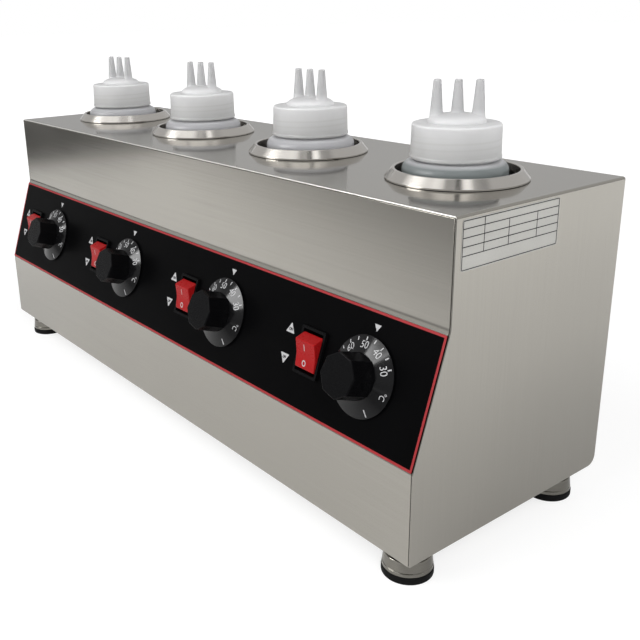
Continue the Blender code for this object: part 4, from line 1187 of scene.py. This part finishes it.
def cap_mesh():
    corners = [
        ((CAP_BORE, 0.0), 0),
        ((CAP_RADIUS, 0.0), CAP_EDGE / 3),
        ((CAP_RADIUS, CAP_FOOT_BEAD), CAP_EDGE / 3),
        ((CAP_RADIUS - CAP_TAPER / 2, CAP_FOOT_BEAD + CAP_TAPER), 0),
        ((CAP_RADIUS - CAP_TAPER, CAP_HEIGHT), CAP_EDGE),
        ((DOME_RADIUS, CAP_HEIGHT), 0),
    ]
    outer = rounded(corners)[:-1] + dome(DOME_RADIUS, 0.0)
    inner = [(CAP_BORE, CAP_HEIGHT - CAP_TOP_WALL)] + dome(DOME_RADIUS - CAP_TOP_WALL, CAP_TOP_WALL)
    body = turned(outer[::-1] + inner)
    places = [(index - (NOZZLE_COUNT - 1) / 2) * NOZZLE_SPACING for index in range(NOZZLE_COUNT)]
    steps = [("UNION", nozzle_mesh(x)) for x in places]
    return combined(body, steps + [("DIFFERENCE", gathered([bore_mesh(x) for x in places]))])


def cap(number, mesh):
    foot = Matrix.Translation(JOINTS[f"cap_{number}_turn"]["pos_m"])
    place = foot @ Matrix.Rotation(NOZZLE_ROW_ANGLES[number - 1], 4, "Z")
    name, node = f"cap_{number}", f"bottle_cap_{number}"
    piece(name, mesh.copy(), "cap", (node,), place, name)


# Switches


def housing_mesh():
    body_width, body_length = CAVITY_WIDTH + 2 * SWITCH_WALL, CAVITY_LENGTH + 2 * SWITCH_WALL
    bezel_top = BEZEL_SEAT + BEZEL_HEIGHT
    bezel = prism(rectangle(BEZEL_WIDTH, BEZEL_LENGTH, BEZEL_CORNER), BEZEL_SEAT, bezel_top)
    body = prism(rectangle(body_width, body_length), -SWITCH_DEPTH, BEZEL_SEAT + SEAT_GAP)
    cavity = prism(rectangle(CAVITY_WIDTH, CAVITY_LENGTH), -CAVITY_DEPTH, bezel_top + OVERRUN)
    blades = []
    tip = -SWITCH_DEPTH - BLADE_LENGTH
    for end in (-1, 1):
        blade = prism(rectangle(BLADE_WIDTH, BLADE_THICKNESS), tip, -SWITCH_DEPTH + SWITCH_WALL)
        blades.append(moved(blade, shift(0.0, end * CAVITY_LENGTH / 4)))
    steps = [("UNION", body), ("UNION", gathered(blades)), ("DIFFERENCE", cavity)]
    return softened(combined(bezel, steps), BEZEL_EDGE / 2, EDGE_SEGMENTS)


def rocker_face(x, y):
    """The height of the rocker's dished face over a point of its own plane."""
    lean = ROCKER_DISH / (ROCKER_FACE_LENGTH / 2)
    flat = ROCKER_VALLEY_RADIUS * sin(atan(lean))
    height = ROCKER_RISE - ROCKER_DISH
    if abs(y) < flat:
        valley = height + ROCKER_VALLEY_RADIUS / cos(atan(lean))
        return valley - sqrt(ROCKER_VALLEY_RADIUS**2 - y**2)
    return height + abs(y) * lean


def rocker_mesh():
    end_half = CAVITY_LENGTH / 2 - ROCKER_END_CLEARANCE
    upper = [
        ((ROCKER_FACE_LENGTH / 2, ROCKER_RISE), ROCKER_CREST_RADIUS),
        ((end_half, ROCKER_SKIRT), ROCKER_SKIRT),
        ((end_half - ROCKER_DISH, -ROCKER_SKIRT), 0),
        ((ROCKER_FOOT_LENGTH / 2, -ROCKER_FOOT_DEPTH), 0),
    ]
    corners = [((0.0, ROCKER_RISE - ROCKER_DISH), ROCKER_VALLEY_RADIUS)] + upper
    corners += [((-point[0], point[1]), radius) for point, radius in upper[::-1]]
    half = CAVITY_WIDTH / 2 - SEAT_GAP
    return softened(prism(rounded(corners), -half, half, "x"), ROCKER_EDGE, EDGE_SEGMENTS)


def rocker_marks():
    bar = flat_mark(rectangle(BAR_WIDTH, BAR_LENGTH, BAR_WIDTH / 4))
    bar = moved(bar, shift(0.0, BAR_UP))
    outer = [Vector((p.x * ZERO_WIDTH / 2, p.y * ZERO_LENGTH / 2)) for p in circle(1.0, SMALL_STEPS)]
    zero = bmesh.new()
    rings = []
    for height in (0.0, PRINT_THICKNESS):
        for stroke in (0.0, ZERO_STROKE):
            share = 1 - 2 * stroke / ZERO_WIDTH
            rings.append([zero.verts.new((p.x * share, p.y * share + ZERO_UP, height)) for p in outer])
    for near, far in ((0, 1), (1, 3), (3, 2), (2, 0)):
        for index in range(SMALL_STEPS):
            after = (index + 1) % SMALL_STEPS
            zero.faces.new((rings[near][index], rings[near][after], rings[far][after], rings[far][index]))
    return draped(moved(gathered([bar, mesh_from(zero)]), shift(MARKS_SHIFT)), rocker_face)


def switch(number, housing, rocker, marks):
    pivot = Vector(JOINTS[f"rocker_{number}_press"]["pos_m"])
    face = pivot - SLOPE_OUT * (OVERLAY_FACE - ROCKER_DEPTH)
    place = Matrix.Translation(face) @ slope_turn()
    name = f"switch_housing_{number}"
    piece(f"switch_body_{number}", housing.copy(), "black", (name,), place)
    tilted = Matrix.Translation(pivot) @ slope_turn() @ Matrix.Rotation(ROCKER_TILT, 4, "X")
    body = f"rocker_{number}"
    piece(f"rocker_cap_{number}", rocker.copy(), "red", (body,), tilted, body)
    piece(f"rocker_marks_{number}", marks.copy(), "ink", (), tilted, body)


# Knobs


def skirt_height(x, y):
    """The height of the skirt's conical face over a point of its own plane."""
    share = (SKIRT_RADIUS - hypot(x, y)) / (SKIRT_RADIUS - GRIP_RADIUS + GRIP_DRAFT)
    return SKIRT_EDGE + share * (SKIRT_THICKNESS - SKIRT_EDGE)


def knob_mesh():
    corners = [
        ((0.0, 0.0), 0),
        ((SKIRT_RADIUS, 0.0), 0),
        ((SKIRT_RADIUS, SKIRT_EDGE), SKIRT_CHAMFER / 2),
        ((GRIP_RADIUS - GRIP_DRAFT, SKIRT_THICKNESS), 0),
        ((0.0, SKIRT_THICKNESS), 0),
    ]
    skirt = turned(rounded(corners), WELL_STEPS)
    phase = pi / 2 + GRIP_PHASE
    levels = [(GRIP_RADIUS, SKIRT_EDGE)]
    top_radius = GRIP_RADIUS - GRIP_DRAFT
    crown = arc((top_radius - GRIP_CROWN, KNOB_HEIGHT - GRIP_CROWN), GRIP_CROWN, 0.0, pi / 2)
    levels += [(point.x, point.y) for point in crown]
    grip = loft([(polygon(radius, GRIP_SIDES, phase, GRIP_CORNER), at) for radius, at in levels])
    bore = prism(d_outline(SPINDLE_RADIUS + SEAT_GAP, SPINDLE_FLAT_DEPTH), -OVERRUN, SPINDLE_TOP)
    return combined(skirt, [("UNION", grip), ("DIFFERENCE", bore)])


def dial_point(turn, radius):
    """A place on the dial at a clockwise turn from straight up."""
    return Matrix.Rotation(-turn, 4, "Z") @ shift(0.0, radius)


def knob_scale():
    """Ticks, numbers and a degree sign on the skirt, with the numbers' heads outward."""
    marks = []
    for value in range(SCALE_FIRST, SCALE_LAST + 1, SCALE_STEP):
        turn = SCALE_START - (value - SCALE_FIRST) / SCALE_STEP * SCALE_PITCH
        tick = flat_mark(rectangle(TICK_WIDTH, TICK_OUTER - TICK_INNER))
        marks.append(moved(tick, dial_point(turn, (TICK_INNER + TICK_OUTER) / 2)))
        if (value - SCALE_FIRST) % (2 * SCALE_STEP) == 0:
            marks.append(moved(lettering(str(value), DIGIT_HEIGHT), dial_point(turn, DIGIT_RADIUS)))
    marks.append(moved(lettering("°C", UNIT_HEIGHT), dial_point(UNIT_ANGLE, UNIT_RADIUS)))
    tick = flat_mark(rectangle(TICK_WIDTH, TICK_OUTER - OFF_INNER))
    marks.append(moved(tick, dial_point(OFF_ANGLE, (OFF_INNER + TICK_OUTER) / 2)))
    return draped(gathered(marks), skirt_height)


def knob(number, mesh, scale):
    place = Matrix.Translation(JOINTS[f"knob_{number}_turn"]["pos_m"]) @ slope_turn()
    body = f"knob_{number}"
    dial = piece(f"dial_{number}", mesh.copy(), "knob grip", (body,), place, body)
    for face in dial.data.polygons:
        if face.center.xy.length < GRIP_RADIUS:
            face.material_index = 1
    piece(f"dial_scale_{number}", scale.copy(), "ink", (), place, body)


# Feet


def foot_places():
    xs = (-END_X + FOOT_INSET, END_X - FOOT_INSET)
    ys = (FRONT_Y + FOOT_INSET, BACK_Y - FOOT_INSET)
    return [(x, y) for y in ys for x in xs]


def foot(number, x, y):
    low, high = PAD_THICKNESS + SEAT_GAP, CASING_BOTTOM - CUP_GAP
    slant = (CUP_BOTTOM_RADIUS - CUP_TOP_RADIUS) / (high - low)
    groove = low + GROOVE_RISE
    groove_radius = CUP_BOTTOM_RADIUS - slant * (groove - low)
    seat, nut = CASING_BOTTOM - SEAT_GAP, CASING_BOTTOM + SHEET + SEAT_GAP
    corners = [
        ((0.0, low), 0),
        ((CUP_BOTTOM_RADIUS, low), CUP_ROUNDING / 2),
        ((groove_radius, groove), GROOVE_WIDTH / 4),
        ((groove_radius - GROOVE_DEPTH, groove + GROOVE_WIDTH / 2), 0),
        ((groove_radius - slant * GROOVE_WIDTH, groove + GROOVE_WIDTH), GROOVE_WIDTH / 4),
        ((CUP_TOP_RADIUS, high), CUP_ROUNDING),
        ((FOOT_NECK_RADIUS, high), CUP_ROUNDING),
        ((FOOT_NECK_RADIUS, seat), 0),
        ((STUD_RADIUS, seat), 0),
        ((STUD_RADIUS, nut), 0),
        ((FOOT_NUT_RADIUS, nut), 0),
        ((FOOT_NUT_RADIUS, nut + FOOT_NUT_HEIGHT), CUP_ROUNDING),
        ((STUD_RADIUS, nut + FOOT_NUT_HEIGHT), 0),
        ((STUD_RADIUS, seat + STUD_LENGTH), 0),
        ((0.0, seat + STUD_LENGTH), 0),
    ]
    cup = turned(rounded(corners, FOOT_ARC_STEPS))
    name = f"foot_cup_{number}"
    piece(f"cup_{number}", cup, "foot", (name,), shift(x, y))
    corners = [
        ((0.0, 0.0), 0),
        ((PAD_RADIUS, 0.0), PAD_ROUNDING),
        ((PAD_RADIUS, PAD_THICKNESS), PAD_ROUNDING),
        ((0.0, PAD_THICKNESS), 0),
    ]
    pad = turned(rounded(corners))
    name = f"foot_pad_{number}"
    piece(f"pad_{number}", pad, "rubber", (name,), shift(x, y))


# Gland and plate


def gland():
    """A gland along its own axis: a hexagon and a ribbed dome outside, a lock nut inside."""
    inner_face = -(SHEET + SEAT_GAP)
    nut_low = inner_face - GLAND_NUT_LENGTH
    hex_high = SEAT_GAP + GLAND_HEX_LENGTH
    dome_high = hex_high + GLAND_DOME_LENGTH
    hexagon = polygon(GLAND_HEX_RADIUS, 6, 0.0, GLAND_NUT_LENGTH / 8)
    flange = softened(prism(hexagon, SEAT_GAP, hex_high), BEZEL_EDGE)
    nut = prism(hexagon, nut_low, inner_face)
    thread = rod(GLAND_THREAD_RADIUS, nut_low - SHEET, SEAT_GAP + SHEET)
    corners = [
        ((0.0, SEAT_GAP + SHEET), 0),
        ((GLAND_DOME_RADIUS, SEAT_GAP + SHEET), 0),
        ((GLAND_THREAD_RADIUS, dome_high), GLAND_DOME_LENGTH / 4),
        ((0.0, dome_high), 0),
    ]
    head = turned(rounded(corners), SMALL_STEPS)
    cuts = []
    for index in range(GLAND_RIBS):
        groove = prism(circle(BEZEL_EDGE, GLAND_RIB_STEPS), hex_high, dome_high + OVERRUN)
        turn = Matrix.Rotation(tau * index / GLAND_RIBS, 4, "Z")
        cuts.append(moved(groove, turn @ shift(GLAND_DOME_RADIUS)))
    bore = rod(GLAND_BORE, nut_low - OVERRUN, dome_high + OVERRUN)
    steps = [("DIFFERENCE", gathered(cuts))]
    steps += [("UNION", mesh) for mesh in (thread, flange, nut)] + [("DIFFERENCE", bore)]
    place = Matrix.Translation(gland_place()) @ Matrix.Rotation(-pi / 2, 4, "X")
    piece("gland", combined(head, steps), "black", ("cable_gland",), place)


def end_plate():
    """A bare film with ruled lines on the right end."""
    width, height = PLATE_BACK - PLATE_FRONT, PLATE_BOTTOM - PLATE_TOP
    centre = Vector((END_X, TOP_FRONT_Y + PLATE_FRONT + width / 2, TOP_HEIGHT - PLATE_TOP - height / 2))
    turn = Matrix.Rotation(pi / 2, 4, "Z") @ Matrix.Rotation(pi / 2, 4, "X")
    place = Matrix.Translation(centre) @ turn
    film = prism(rectangle(width, height, PLATE_CORNER), PRINT_LIFT, PLATE_THICKNESS)
    piece("end_plate", film, "plate", (), place)
    low, high = PLATE_THICKNESS + PRINT_LIFT, PLATE_THICKNESS + PRINT_LIFT + PRINT_THICKNESS
    inner_width, inner_height = width - 2 * PLATE_MARGIN, height - 2 * PLATE_MARGIN
    lines = [frame_outline_mesh(inner_width, inner_height, PLATE_CORNER / 2, PLATE_LINE, low, high)]
    for share in PLATE_ROW_SHARES:
        line = prism(rectangle(inner_width - 2 * PLATE_LINE, PLATE_LINE), low, high)
        lines.append(moved(line, shift(0.0, inner_height * (0.5 - share))))
    table_height = inner_height * PLATE_ROW_SHARES[-1]
    for index, share in enumerate(PLATE_COLUMN_SHARES):
        top = inner_height / 2 - (inner_height * PLATE_ROW_SHARES[0] if index else 0.0)
        foot_at = inner_height / 2 - table_height
        line = prism(rectangle(PLATE_LINE, top - foot_at - PLATE_LINE), low, high)
        lines.append(moved(line, shift(inner_width * (share - 0.5), (top + foot_at) / 2)))
    piece("end_plate_lines", gathered(lines), "dark_ink", (), place)


# Studio


def bare_material(name):
    """A material with nothing in its node tree yet."""
    found = bpy.data.materials.new(name)
    found.use_nodes = True
    found.node_tree.nodes.clear()
    return found


def put_out(tree, kind, shader):
    out = tree.nodes.new("ShaderNodeOutput" + kind)
    tree.links.new(shader, out.inputs["Surface"])


def by_ray(tree, shown, mirrored, plain):
    """One shader for the camera, one for metal and clear plastic, and one for the rest."""
    path = tree.nodes.new("ShaderNodeLightPath")
    metal = calc(tree, "MAXIMUM", path.outputs["Is Glossy Ray"], path.outputs["Is Transmission Ray"])
    lit = add(tree, "MixShader", {0: metal, 1: plain, 2: mirrored})
    return add(tree, "MixShader", {0: path.outputs["Is Camera Ray"], 1: lit, 2: shown})


def plane(name, corners, material):
    shape = bmesh.new()
    shape.faces.new([shape.verts.new(corner) for corner in corners])
    mesh = bpy.data.meshes.new(name)
    shape.to_mesh(mesh)
    shape.free()
    mesh.materials.append(material)
    obj = linked(name, mesh)
    return obj


FLOOR_HALF = 12.0
FLOOR_GLOW = (0.70, 1.0)
FLOOR_GLOW_FROM = (0.7, 2.2)
FLOOR_ALBEDO = 0.38
MIRRORED_GLOW = 0.20
MIRRORED_ALBEDO = 0.88

# The parts of the floor that metal sees in shade: one left of an edge, and a slant stretch in front
SHADE_EDGE = (-1.18, -1.32)
SHADE_EDGE_SIDE = (-0.10, -0.30)
SHADE_LEAST = 0.14
SLANT_WAY = (0.40, -1.0, 0.0)
SLANT_FROM = (0.26, 0.60)
SLANT_LEAST = 0.34
NEAR_SHADE = (0.02, 0.17)
NEAR_LEAST = 0.86
END_SHADE = 0.45
END_LEAST = 0.72


def floor_shade(tree):
    """How much of the floor's light metal sees, by place."""
    place = straight_space(tree)
    x = add(tree, "SeparateXYZ", {0: place}, 0)
    y = add(tree, "SeparateXYZ", {0: place}, 1)
    side = ranged(tree, y, *SHADE_EDGE_SIDE)
    corner = calc(tree, "MULTIPLY", ranged(tree, x, *SHADE_EDGE), side)
    slant = add(tree, "VectorMath", {0: place, 1: SLANT_WAY}, 1, operation="DOT_PRODUCT")
    first = ranged(tree, corner, 0.0, 1.0, 1.0, SHADE_LEAST)
    second = ranged(tree, slant, *SLANT_FROM, 1.0, SLANT_LEAST)
    right = calc(tree, "SUBTRACT", x, END_X)
    ahead = calc(tree, "SUBTRACT", FRONT_Y, y)
    third = ranged(tree, calc(tree, "MAXIMUM", right, ahead), *NEAR_SHADE, NEAR_LEAST)
    under = ranged(tree, right, -NEAR_SHADE[0], 0.0, 1.0, END_LEAST)
    fourth = calc(tree, "MAXIMUM", under, ranged(tree, right, 0.0, END_SHADE, END_LEAST))
    far = calc(tree, "MINIMUM", first, second)
    return calc(tree, "MULTIPLY", far, calc(tree, "MULTIPLY", third, fourth))


def glow_and_pale(tree, glow, pale):
    """A matt surface that also glows."""
    values = {0: add(tree, "Emission", {"Strength": glow}), 1: add(tree, "BsdfDiffuse", {"Color": pale})}
    return add(tree, "AddShader", values)


def grey(level):
    return rgba((level, level, level))


def floor():
    found = bare_material("studio_floor")
    tree = found.node_tree
    away = add(tree, "VectorMath", {0: straight_space(tree)}, 1, operation="LENGTH")
    shade = floor_shade(tree)
    glow = calc(tree, "MULTIPLY", shade, MIRRORED_GLOW)
    pale = calc(tree, "MULTIPLY", shade, MIRRORED_ALBEDO)
    shown = glow_and_pale(tree, ranged(tree, away, *FLOOR_GLOW_FROM, *FLOOR_GLOW), grey(FLOOR_ALBEDO))
    plain = glow_and_pale(tree, 0.0, grey(MIRRORED_ALBEDO))
    put_out(tree, "Material", by_ray(tree, shown, glow_and_pale(tree, glow, pale), plain))
    plane("floor", [(x * FLOOR_HALF, y * FLOOR_HALF, 0.0) for x, y in CORNER_WAYS], found)


SKY_STOPS = (
    (0.50, 0.90),
    (0.515, 0.90),
    (0.535, 0.47),
    (0.552, 0.44),
    (0.575, 0.52),
    (0.62, 0.60),
    (0.75, 0.60),
    (0.93, 0.62),
    (0.965, 0.68),
    (0.985, 1.50),
    (1.00, 1.70),
)
SKY_PLAIN = (1.05, 0.05)


def studio_world():
    """White for the camera, a graded sky for metal, and a soft light from the horizon for the rest."""
    world = bpy.data.worlds.new("studio")
    bpy.context.scene.world = world
    world.use_nodes = True
    tree = world.node_tree
    tree.nodes.clear()
    height = add(tree, "SeparateXYZ", {0: add(tree, "TexCoord", output=0)}, 2)
    ramp = tree.nodes.new("ShaderNodeValToRGB")
    tree.links.new(ranged(tree, height, -1.0, 1.0), ramp.inputs[0])
    stops = ramp.color_ramp.elements
    while len(stops) < len(SKY_STOPS):
        stops.new(1.0)
    for stop, (at, level) in zip(stops, SKY_STOPS):
        stop.position = at
        stop.color = grey(level)
    plain = add(tree, "Background", {"Strength": ranged(tree, height, 0.0, 1.0, *SKY_PLAIN)})
    graded = add(tree, "Background", {"Color": ramp.outputs[0], "Strength": 1.0})
    white = add(tree, "Background", {"Color": grey(1.0), "Strength": 1.0})
    put_out(tree, "World", by_ray(tree, white, graded, plain))


# Cards that only gloss shows: where they are seen from, azimuth and elevation, distance, width,
# height and level
NEAR_WELL = (0.21, 0.01, 0.22)
NEAR_PANEL = (0.0, -0.09, 0.12)
NEAR_DIAL = (0.23, -0.10, 0.12)
CARDS = {
    "glint_left": (NEAR_WELL, -103, 62, 2.2, 0.62, 1.0, 1.55),
    "glint_right": (NEAR_WELL, -17, 66, 2.2, 0.36, 1.1, 1.8),
    "gap_left": (NEAR_WELL, -69, 65, 2.2, 0.42, 1.1, 0.28),
    "gap_right": (NEAR_WELL, -42, 66, 2.2, 0.30, 1.1, 0.0),
    "gap_far": (NEAR_WELL, 20, 64, 2.2, 0.46, 1.1, 0.24),
    "gap_top": ((0.25, 0.06, 0.22), 132, 86, 2.2, 0.16, 0.9, 0.05),
    "window": (NEAR_WELL, -137, 49, 2.2, 1.4, 1.2, 1.4),
    "dial_window": (NEAR_DIAL, -122, 28, 2.2, 0.94, 0.62, 13.0),
    "front_flag": (NEAR_PANEL, -147, -1, 2.5, 3.6, 1.0, 0.66),
}


def card(name, seen_from, azimuth, elevation, distance, width, height, level):
    found = bare_material(name)
    tree = found.node_tree
    put_out(tree, "Material", add(tree, "Emission", {"Strength": level}))
    az, el = radians(azimuth), radians(elevation)
    way = Vector((cos(az) * cos(el), sin(az) * cos(el), sin(el)))
    across = Vector((-sin(az), cos(az), 0.0))
    up = way.cross(across)
    middle = Vector(seen_from) + way * distance
    corners = [middle + across * (a * width / 2) + up * (b * height / 2) for a, b in CORNER_WAYS]
    made = plane(name, corners, found)
    for ray in ("camera", "diffuse", "shadow", "transmission"):
        setattr(made, "visible_" + ray, False)


# Each lamp's place, width and power in watts
LAMP_AIM = Vector((0.0, 0.0, 0.12))
LAMPS = {
    "key": ((-0.5, -2.1, 2.0), 2.2, 47.0),
    "side": ((2.1, -1.1, 1.7), 1.8, 39.0),
    "behind": ((1.3, 1.9, 1.4), 1.6, 18.0),
}


def lamps():
    for name, (location, size, power) in LAMPS.items():
        light = bpy.data.lights.new(name, "AREA")
        light.shape = "DISK"
        light.size = size
        light.energy = power
        lamp = linked(name, light)
        lamp.location = location
        aim = LAMP_AIM - lamp.location
        lamp.rotation_euler = aim.to_track_quat("-Z", "Y").to_euler()
        lamp.visible_camera = False
        lamp.visible_glossy = False


CAMERA_AT = Vector((553.34, -385.60, 320.34)) * MM
CAMERA_AZIMUTH = radians(52.5635)
CAMERA_ELEVATION = radians(18.3679)
CAMERA_ROLL = radians(-1.156)
CAMERA_LENS = 47.2776
CAMERA_SENSOR = 36.0
CAMERA_SHIFT = (0.0675, -0.0504)


def camera():
    data = bpy.data.cameras.new("camera")
    data.lens = CAMERA_LENS
    data.sensor_width = CAMERA_SENSOR
    data.shift_x, data.shift_y = CAMERA_SHIFT
    eye = linked("camera", data)
    level = cos(CAMERA_ELEVATION)
    sine, cosine = sin(CAMERA_AZIMUTH), cos(CAMERA_AZIMUTH)
    forward = Vector((-sine * level, cosine * level, -sin(CAMERA_ELEVATION)))
    right = Vector((cosine, sine, 0.0))
    up = right.cross(forward)
    cosine, sine = cos(CAMERA_ROLL), sin(CAMERA_ROLL)
    right, up = cosine * right + sine * up, cosine * up - sine * right
    eye.matrix_world = Matrix.Translation(CAMERA_AT) @ Matrix((right, up, -forward)).transposed().to_4x4()
    bpy.context.scene.camera = eye


DRESSED = {"heater_band": "band", "thermostat": "grey", "spindle": "brass", "cap_seal": "seal"}


def build():
    casing_shell()
    front_sheet()
    back_sheet()
    base_sheet()
    overlay()
    gland()
    end_plate()
    cap_shape = cap_mesh()
    housing, rocker, marks = housing_mesh(), rocker_mesh(), rocker_marks()
    knob_shape, scale = knob_mesh(), knob_scale()
    for number in WELLS:
        well(number)
        bottle(number)
        cap(number, cap_shape)
        overlay_marks(number)
        switch(number, housing, rocker, marks)
        knob(number, knob_shape, scale)
        for node, look in DRESSED.items():
            dressed(f"{node}_{number}", look)
    for number, (x, y) in enumerate(foot_places(), start=1):
        foot(number, x, y)
    dressed("terminal_block", "seal")


build()
camera()
floor()
studio_world()
lamps()
for card_name, card_values in CARDS.items():
    card(card_name, *card_values)
bpy.context.scene.view_settings.view_transform = "Standard"

bpy.context.view_layer.update()
